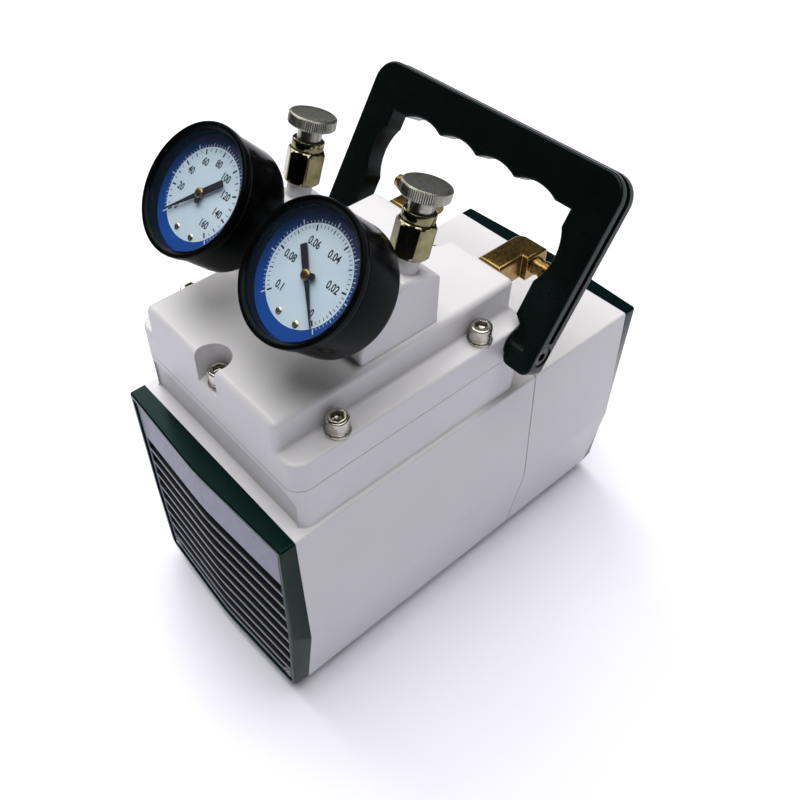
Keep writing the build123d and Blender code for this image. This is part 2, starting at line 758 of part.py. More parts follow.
# -------------------------------- head screws and washers
with BuildPart() as head_screws:
    head_seat_z = shelf_z + washer_thickness + spring_washer_thickness
    with BuildSketch(Plane.XY.offset(head_seat_z)):
        with Locations(head_screw_places()):
            Circle(screw_head_radius)
    extrude(amount=screw_head_height)
    fillet(head_screws.edges().group_by(Axis.Z)[-1], 0.6)
    with BuildSketch(Plane.XY.offset(head_seat_z)):
        with Locations(head_screw_places()):
            Circle(screw_radius)
    extrude(amount=-screw_length)
    with BuildSketch(Plane.XY.offset(head_seat_z + screw_head_height)):
        with Locations(head_screw_places()):
            RegularPolygon(screw_socket_half, 6, major_radius=False)
    extrude(amount=-screw_head_height / 2, mode=Mode.SUBTRACT)
save(head_screws, "head_screws")

with BuildPart() as head_washers:
    with BuildSketch(Plane.XY.offset(shelf_z)):
        with Locations(head_screw_places()):
            Circle(washer_radius)
            Circle(screw_radius + screw_hole_gap, mode=Mode.SUBTRACT)
    extrude(amount=washer_thickness)
    with BuildSketch(Plane.XY.offset(shelf_z + washer_thickness)) as rings:
        with Locations(head_screw_places()):
            Circle(spring_washer_radius)
            Circle(screw_radius + 0.1, mode=Mode.SUBTRACT)
        with Locations([(x + spring_washer_radius, y) for x, y in head_screw_places()]):
            Rectangle(spring_washer_radius, 0.6, mode=Mode.SUBTRACT)
    extrude(amount=spring_washer_thickness)
save(head_washers, "head_washers")

# -------------------------------- valve plate, its gasket, discs and guide pins
with BuildPart() as valve_plate:
    with BuildSketch(Plane.XY.offset(head_parting_z)):
        with Locations(head_centre):
            Circle(plate_radius)
    extrude(amount=plate_thickness)
    with BuildSketch(Plane.XY.offset(head_parting_z)):
        with Locations(head_centre):
            Circle(head_bore_radius)
    extrude(amount=chamber_depth, mode=Mode.SUBTRACT)
    with BuildSketch(Plane.XY.offset(plate_ceiling_z)):
        with Locations((disc_x, head_centre_y)):
            Circle(disc_radius + 1.5)
    extrude(amount=inlet_recess_depth, mode=Mode.SUBTRACT)
    for x in (-disc_x, disc_x):
        with BuildSketch(Plane.XY.offset(plate_ceiling_z)):
            with Locations((x, head_centre_y)):
                Circle(disc_pin_core + running_gap)
                with PolarLocations(port_circle, 4, start_angle=45):
                    Circle(port_radius)
        extrude(amount=plate_thickness, mode=Mode.SUBTRACT)
save(valve_plate, "valve_plate")

with BuildPart() as head_gasket:
    with BuildSketch(Plane.XY.offset(plate_top_z)):
        with Locations(head_centre):
            Circle(plate_radius - 0.2)
            Circle(chamber_radius + 0.5, mode=Mode.SUBTRACT)
            Rectangle(chamber_web - 1, 2 * chamber_radius + 2)
    extrude(amount=gasket_thickness)
save(head_gasket, "head_gasket")

inlet_disc_seat_z = plate_ceiling_z + inlet_recess_depth
for label, x, seat_z, way in (
    ("inlet_valve_disc", disc_x, inlet_disc_seat_z, -1),
    ("outlet_valve_disc", -disc_x, plate_top_z, 1),
):
    with BuildPart() as valve_disc:
        with BuildSketch(Plane.XY.offset(seat_z)):
            with Locations((x, head_centre_y)):
                Circle(disc_radius)
                Circle(disc_pin_radius + disc_running_gap, mode=Mode.SUBTRACT)
        extrude(amount=way * disc_thickness)
    save(valve_disc, label)

with BuildPart() as disc_pins:
    for x, seat_z, way in ((disc_x, inlet_disc_seat_z, -1), (-disc_x, plate_top_z, 1)):
        collar = disc_thickness + disc_lift + disc_end_gap
        with BuildSketch(Plane.XY.offset(seat_z)):
            with Locations((x, head_centre_y)):
                Circle(disc_pin_radius)
        extrude(amount=way * collar)
        with BuildSketch(Plane.XY.offset(seat_z + way * collar)):
            with Locations((x, head_centre_y)):
                Circle(disc_pin_head_radius)
        extrude(amount=way * disc_pin_head_thickness)
        with BuildSketch(Plane.XY.offset(seat_z)):
            with Locations((x, head_centre_y)):
                Circle(disc_pin_core)
        extrude(amount=-way * 3)
save(disc_pins, "disc_pins")

# -------------------------------- diaphragm and what clamps it to the rod
with BuildPart() as diaphragm:
    with BuildSketch(Plane.XZ.offset(-head_centre_y)) as half_section:
        middle_z = diaphragm_z + diaphragm_thickness / 2
        thin = diaphragm_thickness * 0.35
        with BuildLine():
            Polyline(
                (clamp_screw_radius + rubber_gap, diaphragm_z),
                (rod_plate_radius + 2, diaphragm_z),
                (rod_plate_radius + 5, middle_z - thin),
                (head_bore_radius - 4, middle_z - thin),
                (head_bore_radius - 1, diaphragm_z),
                (diaphragm_radius, diaphragm_z),
                (diaphragm_radius, head_parting_z),
                (head_bore_radius - 1, head_parting_z),
                (head_bore_radius - 4, middle_z + thin),
                (rod_plate_radius + 5, middle_z + thin),
                (rod_plate_radius + 2, head_parting_z),
                (clamp_screw_radius + rubber_gap, head_parting_z),
                close=True,
            )
        make_face()
    revolve(axis=Axis((0, head_centre_y, 0), (0, 0, 1)))
save(diaphragm, "diaphragm")

clamp_z = head_parting_z + rubber_gap
with BuildPart() as diaphragm_clamp:
    with BuildSketch(Plane.XY.offset(clamp_z)):
        with Locations(head_centre):
            Circle(rod_plate_radius)
    extrude(amount=clamp_thickness)
    chamfer(diaphragm_clamp.edges().group_by(Axis.Z)[-1], 0.5)
    with Locations((0, head_centre_y, clamp_z + clamp_thickness)):
        Hole(clamp_screw_radius + running_gap, clamp_thickness)
save(diaphragm_clamp, "diaphragm_clamp")

with BuildPart() as diaphragm_screw:
    with BuildSketch(Plane.XY.offset(clamp_z + clamp_thickness)):
        with Locations(head_centre):
            Circle(2 * clamp_screw_radius)
    extrude(amount=clamp_screw_head)
    with BuildSketch(Plane.XY.offset(clamp_z + clamp_thickness)):
        with Locations(head_centre):
            Circle(clamp_screw_radius)
    extrude(amount=-clamp_screw_length)
    with BuildSketch(Plane.XY.offset(clamp_z + clamp_thickness + clamp_screw_head)):
        with Locations(head_centre):
            RegularPolygon(2.5, 6, major_radius=False)
    extrude(amount=-3, mode=Mode.SUBTRACT)
save(diaphragm_screw, "diaphragm_screw")

# -------------------------------- connecting rod and its bearing
rod_plate_top_z = diaphragm_z - rubber_gap
rod_front = Plane.XZ.offset(-head_centre_y + journal_width / 2)
with BuildPart() as connecting_rod:
    with BuildSketch(rod_front):
        with Locations((0, rod_centre_z)):
            Circle(rod_eye_radius)
        with Locations((0, (rod_centre_z + rod_plate_top_z) / 2)):
            Rectangle(rod_stem_width, rod_plate_top_z - rod_centre_z)
    extrude(amount=-journal_width)
    with BuildSketch(rod_front):
        with BuildLine():
            Polyline(
                (-rod_stem_width / 2, rod_plate_top_z - 2 * rod_stem_width),
                (rod_stem_width / 2, rod_plate_top_z - 2 * rod_stem_width),
                (rod_plate_radius - 4, rod_plate_top_z - rod_plate_thickness / 2),
                (4 - rod_plate_radius, rod_plate_top_z - rod_plate_thickness / 2),
                close=True,
            )
        make_face()
    extrude(amount=-journal_width)
    with BuildSketch(Plane.XY.offset(rod_plate_top_z)):
        with Locations(head_centre):
            Circle(rod_plate_radius)
    extrude(amount=-rod_plate_thickness)
    with BuildSketch(rod_front):
        with Locations((0, rod_centre_z)):
            Circle(rod_bearing_radius)
    extrude(amount=-journal_width, mode=Mode.SUBTRACT)
    with Locations((0, head_centre_y, rod_plate_top_z)):
        Hole(clamp_screw_radius + running_gap, clamp_screw_length)
save(connecting_rod, "connecting_rod")

with BuildPart() as rod_bearing:
    with BuildSketch(rod_front):
        with Locations((0, rod_centre_z)):
            Circle(rod_bearing_radius)
            Circle(journal_radius + running_gap, mode=Mode.SUBTRACT)
    extrude(amount=-journal_width)
    for face_plane in (rod_front, rod_front.offset(-journal_width + 0.6)):
        with BuildSketch(face_plane):
            with Locations((0, rod_centre_z)):
                Circle(rod_bearing_radius - 3)
                Circle(journal_radius + 3, mode=Mode.SUBTRACT)
        extrude(amount=-0.6, mode=Mode.SUBTRACT)
save(rod_bearing, "rod_bearing")

# -------------------------------- shaft with its eccentric, counterweight, rotor and fan
shaft_front_y = head_centre_y - journal_width / 2 - side_gap / 2
shaft_rear_y = fan_centre_y + fan_width / 2 + 2
with BuildPart() as motor_shaft:
    with BuildSketch(Plane.XZ.offset(-shaft_rear_y)):
        with Locations((0, motor_z)):
            Circle(shaft_radius)
    extrude(amount=shaft_rear_y - shaft_front_y)
    with BuildSketch(Plane.XZ.offset(-shaft_front_y)):
        with Locations((0, motor_z)):
            Circle(crank_screw_radius + running_gap)
    extrude(amount=-14, mode=Mode.SUBTRACT)
save(motor_shaft, "motor_shaft")

hub_rear_y = head_centre_y + journal_width / 2 + counterweight_width + side_gap
with BuildPart() as crank_eccentric:
    with BuildSketch(rod_front.offset(side_gap)):
        with Locations((0, rod_centre_z)):
            Circle(journal_radius)
    extrude(amount=-journal_width - 2 * side_gap)
    with BuildSketch(rod_front.offset(-journal_width - side_gap)):
        with Locations((0, rod_centre_z)):
            Circle(journal_radius + 2)
    extrude(amount=-counterweight_width)
    with BuildSketch(rod_front.offset(-journal_width - side_gap)) as weight:
        with Locations((0, motor_z)):
            Circle(counterweight_radius)
        with Locations((0, motor_z + counterweight_radius - 3)):
            Rectangle(4 * counterweight_radius, 2 * counterweight_radius, mode=Mode.SUBTRACT)
    extrude(amount=-counterweight_width)
    with BuildSketch(rod_front.offset(side_gap)):
        with Locations((0, motor_z)):
            Circle(shaft_radius + press_gap)
    extrude(amount=-journal_width - 2 * counterweight_width, mode=Mode.SUBTRACT)
    with Locations(Plane(origin=(0, hub_rear_y - counterweight_width / 2, motor_z), z_dir=(0, 0, -1))):
        Cylinder(
            crank_screw_radius + running_gap,
            4 * counterweight_radius,
            align=(Align.CENTER, Align.CENTER, Align.MIN),
            mode=Mode.SUBTRACT,
        )
save(crank_eccentric, "crank_eccentric")

with BuildPart() as crank_screws:
    washer_y = head_centre_y - journal_width / 2 - side_gap
    with BuildSketch(Plane.XZ.offset(-washer_y)):
        with Locations((0, rod_centre_z)):
            Circle(journal_radius + 2)
    extrude(amount=crank_washer_thickness)
    with BuildSketch(Plane.XZ.offset(-washer_y + crank_washer_thickness)):
        with Locations((0, motor_z)):
            Circle(crank_screw_head)
    extrude(amount=2.4)
    with BuildSketch(Plane.XZ.offset(-washer_y)):
        with Locations((0, motor_z)):
            Circle(crank_screw_radius)
    extrude(amount=-10)
    with BuildSketch(Plane.XY.offset(motor_z - shaft_radius - press_gap)):
        with Locations((0, hub_rear_y - counterweight_width / 2)):
            Circle(crank_screw_radius)
    extrude(amount=-8)
save(crank_screws, "crank_screws")

with BuildPart() as rotor_core:
    with BuildSketch(Plane.XZ.offset(-stator_rear_y)):
        with Locations((0, motor_z)):
            Circle(stator_bore - air_gap)
    extrude(amount=stator_length)
    with BuildSketch(Plane.XZ.offset(-stator_rear_y - 5)):
        with Locations((0, motor_z)):
            Circle(stator_bore - 3)
    extrude(amount=stator_length + 10)
    with BuildSketch(Plane.XZ.offset(-stator_rear_y - 5)):
        with Locations((0, motor_z)):
            Circle(shaft_radius + press_gap)
    extrude(amount=stator_length + 10, mode=Mode.SUBTRACT)
save(rotor_core, "rotor_core")

with BuildPart() as cooling_fan:
    fan_rear = Plane.XZ.offset(-fan_centre_y - fan_width / 2)
    with BuildSketch(fan_rear):
        with Locations((0, motor_z)):
            Circle(2 * shaft_radius)
    extrude(amount=fan_width)
    for index in range(fan_blades):
        angle = 360 * index / fan_blades
        spoke = Plane(
            origin=(0, fan_centre_y, motor_z),
            x_dir=(0, 1, 0),
            z_dir=(math.cos(math.radians(angle)), 0, math.sin(math.radians(angle))),
        )
        with BuildSketch(spoke.offset(1.6 * shaft_radius)):
            Rectangle(fan_width, 2, rotation=32)
        with BuildSketch(spoke.offset(fan_radius)):
            Rectangle(fan_width * 0.95, 1.4, rotation=50)
        loft(ruled=True)
    with BuildSketch(fan_rear.offset(1)):
        with Locations((0, motor_z)):
            Circle(shaft_radius + press_gap)
    extrude(amount=-fan_width - 2, both=True, mode=Mode.SUBTRACT)
save(cooling_fan, "cooling_fan")

# -------------------------------- stator, windings, brackets, bearings and motor screws
with BuildPart() as stator_core:
    with BuildSketch(Plane.XZ.offset(-stator_rear_y)):
        with Locations((0, motor_z)):
            Circle(stator_radius)
            Circle(stator_bore, mode=Mode.SUBTRACT)
            with PolarLocations((slot_inner + slot_outer) / 2, slot_count):
                Rectangle(slot_outer - slot_inner, slot_width, mode=Mode.SUBTRACT)
            with PolarLocations(bolt_circle, 4, start_angle=45):
                Circle(bolt_clearance_radius, mode=Mode.SUBTRACT)
    extrude(amount=stator_length)
save(stator_core, "stator_core")

with BuildPart() as stator_windings:
    with BuildSketch(Plane.XZ.offset(-stator_rear_y)):
        with Locations((0, motor_z)):
            with PolarLocations((slot_inner + slot_outer) / 2, slot_count):
                Rectangle(slot_outer - slot_inner - 0.4, slot_width - 0.4)
    extrude(amount=stator_length)
    for plane, way in ((Plane.XZ.offset(-stator_rear_y), -1), (Plane.XZ.offset(-stator_front_y), 1)):
        with BuildSketch(plane):
            with Locations((0, motor_z)):
                Circle(slot_outer)
                Circle(slot_inner, mode=Mode.SUBTRACT)
        extrude(amount=way * winding_length)
save(stator_windings, "stator_windings")

for label, near_y, way in (
    ("front_motor_bracket", stator_front_y, -1),
    ("rear_motor_bracket", stator_rear_y, 1),
):
    outer_plane = Plane(origin=(0, near_y, motor_z), x_dir=(1, 0, 0), z_dir=(0, way, 0))
    with BuildPart() as motor_bracket:
        with BuildSketch(outer_plane):
            Circle(stator_radius)
        extrude(amount=bracket_depth)
        with BuildSketch(Plane.XY.offset(case_floor_z)):
            with Locations((0, near_y + way * bracket_depth / 2)):
                Rectangle(2 * motor_foot_half + 14, bracket_depth - 2)
        extrude(amount=motor_foot_height)
        with BuildSketch(outer_plane):
            Circle(stator_radius - bracket_wall)
        extrude(amount=bracket_depth - bracket_wall, mode=Mode.SUBTRACT)
        with BuildSketch(outer_plane.offset(bracket_depth)):
            Circle(bearing_radius + 4)
        extrude(amount=-bearing_width - 2)
        with BuildSketch(outer_plane):
            with PolarLocations(bolt_circle, 4, start_angle=45):
                Circle(5)
        extrude(amount=bracket_depth)
        with BuildSketch(outer_plane):
            with PolarLocations(bolt_circle, 4, start_angle=45):
                Circle(bolt_clearance_radius)
        extrude(amount=bracket_depth, mode=Mode.SUBTRACT)
        with BuildSketch(outer_plane):
            Circle(bearing_radius)
        extrude(amount=bracket_depth - bearing_shoulder, mode=Mode.SUBTRACT)
        with BuildSketch(outer_plane):
            Circle(shaft_radius + 2)
        extrude(amount=bracket_depth + 1, mode=Mode.SUBTRACT)
        foot_middle_y = near_y + way * bracket_depth / 2
        with Locations([(x, foot_middle_y, case_floor_z) for x in (-motor_foot_half, motor_foot_half)]):
            Cylinder(motor_foot_screw + running_gap, 2 * motor_foot_height - 4, mode=Mode.SUBTRACT)
    save(motor_bracket, label)

with BuildPart() as motor_bearings:
    for near_y, way in ((stator_front_y, -1), (stator_rear_y, 1)):
        seat_y = near_y + way * (bracket_depth - bearing_shoulder)
        seat = Plane(origin=(0, seat_y, motor_z), x_dir=(1, 0, 0), z_dir=(0, way, 0))
        with BuildSketch(seat):
            Circle(bearing_radius)
            Circle(shaft_radius + running_gap, mode=Mode.SUBTRACT)
        extrude(amount=-bearing_width)
        with BuildSketch(seat.offset(-bearing_width)):
            Circle(bearing_radius - 3)
            Circle(shaft_radius + 2.5, mode=Mode.SUBTRACT)
        extrude(amount=0.6, mode=Mode.SUBTRACT)
save(motor_bearings, "motor_bearings")

with BuildPart() as motor_screws:
    bolt_front_y = stator_front_y - bracket_depth
    bolt_rear_y = stator_rear_y + bracket_depth
    with BuildSketch(Plane.XZ.offset(-bolt_rear_y - bolt_head_height)):
        with Locations((0, motor_z)):
            with PolarLocations(bolt_circle, 4, start_angle=45):
                RegularPolygon(bolt_head_half, 6, major_radius=False)
    extrude(amount=bolt_head_height)
    with BuildSketch(Plane.XZ.offset(-bolt_rear_y)):
        with Locations((0, motor_z)):
            with PolarLocations(bolt_circle, 4, start_angle=45):
                Circle(bolt_radius)
    extrude(amount=bolt_rear_y - bolt_front_y + bolt_head_height)
    with BuildSketch(Plane.XZ.offset(-bolt_front_y)):
        with Locations((0, motor_z)):
            with PolarLocations(bolt_circle, 4, start_angle=45):
                RegularPolygon(bolt_head_half, 6, major_radius=False)
    extrude(amount=bolt_head_height)
    for y in ((stator_front_y + bolt_front_y) / 2, (stator_rear_y + bolt_rear_y) / 2):
        with BuildSketch(Plane.XY.offset(foot_height)):
            with Locations((-motor_foot_half, y), (motor_foot_half, y)):
                Circle(4.5)
        extrude(amount=-2.8)
        with BuildSketch(Plane.XY.offset(foot_height)):
            with Locations((-motor_foot_half, y), (motor_foot_half, y)):
                Circle(motor_foot_screw)
        extrude(amount=case_wall + motor_foot_height / 2)
        with BuildSketch(Plane.XY.offset(foot_height - 2.8)):
            with Locations((-motor_foot_half, y), (motor_foot_half, y)):
                RegularPolygon(1.5, 6, major_radius=False)
        extrude(amount=1.5, mode=Mode.SUBTRACT)
save(motor_screws, "motor_screws")

# -------------------------------- run capacitor
with BuildPart() as run_capacitor:
    with BuildSketch(Plane.XZ.offset(-capacitor_front_y)):
        with Locations((capacitor_x, capacitor_z)):
            Circle(capacitor_radius)
    extrude(amount=-capacitor_length)
    fillet(run_capacitor.edges().group_by(Axis.Y)[-1], 1.5)
    with BuildSketch(Plane.XZ.offset(-capacitor_front_y)):
        with Locations((capacitor_x - 5, capacitor_z), (capacitor_x + 5, capacitor_z)):
            Rectangle(terminal_thickness, terminal_width)
    extrude(amount=6)
save(run_capacitor, "run_capacitor")

# -------------------------------- manifold block with its gauge ports and valve bosses
with BuildPart() as manifold_block:
    with BuildSketch(Plane.YZ.offset(-manifold_half_width)):
        with BuildLine():
            Polyline(
                (manifold_front_y, cover_top_z),
                (manifold_front_y, manifold_lip_z),
                (manifold_ridge_y, manifold_ridge_z),
                (manifold_rear_y, manifold_rear_z),
                (manifold_rear_y, cover_top_z),
                close=True,
            )
        make_face()
    extrude(amount=2 * manifold_half_width)
    top_z = manifold_ridge_z + 1
    long_edges = manifold_block.edges().filter_by(Axis.X)
    fillet(long_edges.filter_by_position(Axis.Z, cover_top_z + 1, top_z), manifold_ridge_radius)
    side_edges = manifold_block.faces().filter_by(Axis.X).edges()
    fillet(side_edges.filter_by_position(Axis.Z, cover_top_z + 0.1, top_z), manifold_edge_radius)
    for side in (-1, 1):
        with BuildSketch(valve_plane(side).offset(-2)):
            Circle(boss_radius)
        extrude(amount=boss_height + 2)
    for side in (-1, 1):
        with BuildSketch(valve_plane(side).offset(boss_height)):
            Circle(valve_thread_radius + running_gap)
        extrude(amount=-boss_height - valve_thread_length, mode=Mode.SUBTRACT)
        with BuildSketch(valve_plane(side).offset(-valve_thread_length)):
            Circle(passage_radius)
        extrude(amount=-valve_passage_length, mode=Mode.SUBTRACT)
        with BuildSketch(gauge_plane(side).offset(-gauge_case_length - gauge_stem_length)):
            Circle(gauge_thread_radius + running_gap)
        extrude(amount=-gauge_thread_length, mode=Mode.SUBTRACT)
        with BuildSketch(Plane.XY.offset(cover_top_z)):
            with Locations((side * gauge_x, passage_y)):
                Circle(passage_radius)
        extrude(amount=passage_height, mode=Mode.SUBTRACT)
    with BuildSketch(Plane.XY.offset(cover_top_z)):
        with Locations(head_centre):
            with GridLocations(2 * manifold_screw_x, 2 * manifold_screw_dy, 2, 2):
                Circle(manifold_screw_radius + running_gap)
    extrude(amount=manifold_screw_reach, mode=Mode.SUBTRACT)
save(manifold_block, "manifold_block")

with BuildPart() as manifold_screws:
    with BuildSketch(Plane.XY.offset(chamber_roof_z)):
        with Locations(head_centre):
            with GridLocations(2 * manifold_screw_x, 2 * manifold_screw_dy, 2, 2):
                Circle(4.2)
    extrude(amount=-5)
    with BuildSketch(Plane.XY.offset(chamber_roof_z)):
        with Locations(head_centre):
            with GridLocations(2 * manifold_screw_x, 2 * manifold_screw_dy, 2, 2):
                Circle(2.5)
    extrude(amount=cover_roof + manifold_screw_reach - 1)
    with BuildSketch(Plane.XY.offset(chamber_roof_z - 5)):
        with Locations(head_centre):
            with GridLocations(2 * manifold_screw_x, 2 * manifold_screw_dy, 2, 2):
                RegularPolygon(2, 6, major_radius=False)
    extrude(amount=2.5, mode=Mode.SUBTRACT)
save(manifold_screws, "manifold_screws")

# -------------------------------- gauges
gauge_inside_floor = -gauge_case_length + gauge_wall
dial_back = -dial_depth - dial_thickness
for side, kind, zero_angle in ((1, "vacuum", vacuum_zero_angle), (-1, "pressure", pressure_zero_angle)):
    face = gauge_plane(side)
    with BuildPart() as gauge_case:
        with BuildSketch(face):
            Circle(gauge_bezel_radius)
        extrude(amount=-gauge_bezel_height)
        bezel_edges = gauge_case.edges().filter_by(GeomType.CIRCLE)
        fillet(bezel_edges, 1.3)
        with BuildSketch(face.offset(-gauge_bezel_height / 2)):
            Circle(gauge_case_radius)
        extrude(amount=gauge_bezel_height / 2 - gauge_case_length)
        fillet(gauge_case.edges().filter_by(GeomType.CIRCLE).sort_by(Axis(face.origin, face.z_dir))[0], 3.0)
        with BuildSketch(face):
            Circle(gauge_window_radius)
        extrude(amount=-lens_depth, mode=Mode.SUBTRACT)
        with BuildSketch(face.offset(-lens_depth)):
            Circle(gauge_inside_radius)
        extrude(amount=lens_depth + dial_back, mode=Mode.SUBTRACT)
        with BuildSketch(face.offset(dial_back)):
            Circle(gauge_inside_radius - 1.5)
        extrude(amount=gauge_inside_floor - dial_back, mode=Mode.SUBTRACT)
        with BuildSketch(face.offset(gauge_inside_floor)):
            Circle(gauge_neck_radius)
        extrude(amount=-2 * gauge_wall, mode=Mode.SUBTRACT)
    save(gauge_case, f"{kind}_gauge_case")

    with BuildPart() as gauge_dial:
        with BuildSketch(face.offset(-dial_depth)):
            Circle(gauge_inside_radius)
            Circle(1.2, mode=Mode.SUBTRACT)
            with Locations(dial_screw_places[0], dial_screw_places[1]):
                Circle(dial_screw_core + running_gap, mode=Mode.SUBTRACT)
        extrude(amount=-dial_thickness)
    save(gauge_dial, f"{kind}_gauge_dial")

    with BuildPart() as gauge_pointer:
        with BuildSketch(face.offset(-pointer_depth)):
            with BuildLine():
                Polyline(
                    (-pointer_tail, -1.5),
                    (-2, -1.1),
                    (pointer_reach, -0.15),
                    (pointer_reach, 0.15),
                    (-2, 1.1),
                    (-pointer_tail, 1.5),
                    close=True,
                )
            make_face()
        extrude(amount=-pointer_thickness)
        with BuildSketch(face.offset(-pointer_depth)):
            Circle(pointer_hub)
        extrude(amount=0.8)
        hub_rims = gauge_pointer.edges().filter_by(GeomType.CIRCLE)
        fillet(hub_rims.sort_by(Axis(face.origin, face.z_dir))[-1], 0.7)
        with BuildSketch(face.offset(-pointer_depth)):
            Circle(arbor_radius)
        extrude(amount=pointer_depth + dial_back - pointer_arbor)
    with BuildPart() as pointer_at_zero:
        add(gauge_pointer.part.rotate(Axis(face.origin, face.z_dir), zero_angle))
    save(pointer_at_zero, f"{kind}_gauge_pointer")

with BuildPart() as gauge_lenses:
    for side in (-1, 1):
        with BuildSketch(gauge_plane(side).offset(-lens_depth)):
            Circle(gauge_inside_radius)
        extrude(amount=-lens_thickness)
save(gauge_lenses, "gauge_lenses")

with BuildPart() as gauge_sockets:
    for side in (-1, 1):
        face = gauge_plane(side)
        with BuildSketch(face.offset(dial_back)):
            with Locations((0, -3)):
                Rectangle(24, 16)
            Circle(arbor_radius + running_gap, mode=Mode.SUBTRACT)
            with Locations(dial_screw_places[0], dial_screw_places[1]):
                Circle(2.2)
                Circle(dial_screw_core + running_gap, mode=Mode.SUBTRACT)
        extrude(amount=-1)
        with BuildSketch(face.offset(dial_back - 1)):
            with Locations((0, -6)):
                Rectangle(14, 10)
        extrude(amount=gauge_inside_floor + movement_floor_gap - dial_back + 1)
        with BuildSketch(face.offset(gauge_inside_floor + movement_floor_gap)):
            Circle(gauge_neck_radius + 1.5)
        extrude(amount=-movement_floor_gap)
        with BuildSketch(face.offset(gauge_inside_floor)):
            Circle(gauge_neck_radius - running_gap)
        extrude(amount=-gauge_wall)
        with BuildSketch(face.offset(-gauge_case_length)):
            RegularPolygon(gauge_hex / 2, 6, major_radius=False)
        extrude(amount=-gauge_hex_height)
        with BuildSketch(face.offset(-gauge_case_length - gauge_hex_height)):
            Circle(gauge_neck_radius)
        extrude(amount=gauge_hex_height - gauge_stem_length)
        with BuildSketch(face.offset(-gauge_case_length - gauge_stem_length)):
            Circle(gauge_thread_radius)
        extrude(amount=1 - gauge_thread_length)
        with BuildSketch(face.offset(-gauge_case_length - gauge_stem_length - gauge_thread_length)):
            Circle(1.2)
        extrude(amount=gauge_stem_length + gauge_thread_length, mode=Mode.SUBTRACT)
save(gauge_sockets, "gauge_sockets")

with BuildPart() as dial_screws:
    for side in (-1, 1):
        with BuildSketch(gauge_plane(side).offset(-dial_depth)):
            with Locations(dial_screw_places[0], dial_screw_places[1]):
                Circle(dial_screw_head)
        extrude(amount=0.8)
        with BuildSketch(gauge_plane(side).offset(-dial_depth)):
            with Locations(dial_screw_places[0], dial_screw_places[1]):
                Circle(dial_screw_core)
        extrude(amount=-dial_thickness - 1)
save(dial_screws, "dial_screws")

# -------------------------------- bleed valves
for side, kind in ((1, "vacuum"), (-1, "pressure")):
    base = valve_plane(side)
    with BuildPart() as valve_body:
        with BuildSketch(base.offset(boss_height)):
            RegularPolygon(valve_hex / 2, 6, major_radius=False, rotation=30)
        extrude(amount=valve_hex_top - boss_height)
        with BuildSketch(base.offset(boss_height)):
            Circle(valve_hex * 0.56)
        extrude(amount=valve_hex_top - boss_height, mode=Mode.INTERSECT)
        with BuildSketch(base.offset(valve_hex_top)):
            Circle(valve_collar_radius)
        extrude(amount=valve_collar_top - valve_hex_top)
        with BuildSketch(base.offset(boss_height)):
            Circle(valve_thread_radius)
        extrude(amount=1 - boss_height - valve_thread_length)
        with BuildSketch(base.offset(knob_sleeve_base)):
            Circle(knob_neck_radius + running_gap)
        extrude(amount=valve_collar_top, mode=Mode.SUBTRACT)
        with BuildSketch(base.offset(valve_seat_height)):
            Circle(needle_radius + running_gap)
        extrude(amount=knob_sleeve_base, mode=Mode.SUBTRACT)
        with BuildSketch(base.offset(-valve_thread_length)):
            Circle(valve_throat_radius)
        extrude(amount=valve_thread_length + valve_seat_height + 1, mode=Mode.SUBTRACT)
        bleed_origin = base.origin + base.z_dir * bleed_height
        with BuildSketch(Plane(origin=bleed_origin, x_dir=base.z_dir, z_dir=(side, 0, 0))):
            Circle(valve_bleed_radius)
        extrude(amount=valve_hex, mode=Mode.SUBTRACT)
    save(valve_body, f"{kind}_valve_body")

    with BuildPart() as valve_knob:
        with BuildSketch(base.offset(knob_base)):
            Circle(knob_radius)
        extrude(amount=knob_top - knob_base)
        chamfer(valve_knob.edges().filter_by(GeomType.CIRCLE), 0.7)
        with BuildSketch(base.offset(knob_base)):
            with PolarLocations(knob_radius + 0.25, knob_grooves):
                Circle(0.65)
        extrude(amount=knob_top - knob_base, mode=Mode.SUBTRACT)
        with BuildSketch(base.offset(knob_base)):
            Circle(knob_neck_radius)
        extrude(amount=knob_sleeve_base + knob_end_gap - knob_base)
        with BuildSketch(base.offset(knob_base + 1)):
            Circle(needle_radius + running_gap)
        extrude(amount=needle_lift, mode=Mode.SUBTRACT)
        with BuildSketch(base.offset(knob_base + 1)):
            Circle(needle_radius + running_gap)
        extrude(amount=-knob_base, mode=Mode.SUBTRACT)
    save(valve_knob, f"{kind}_valve_knob")

    with BuildPart() as valve_needle:
        with BuildSketch(base.offset(valve_seat_height + needle_cone + seat_gap)):
            Circle(needle_radius)
        extrude(amount=knob_base + 0.6 - valve_seat_height - needle_cone - seat_gap)
        with BuildSketch(base.offset(valve_seat_height + needle_cone + seat_gap)):
            Circle(needle_radius)
        with BuildSketch(base.offset(valve_seat_height + seat_gap)):
            Circle(needle_tip_radius)
        loft(ruled=True)
    save(valve_needle, f"{kind}_valve_needle")

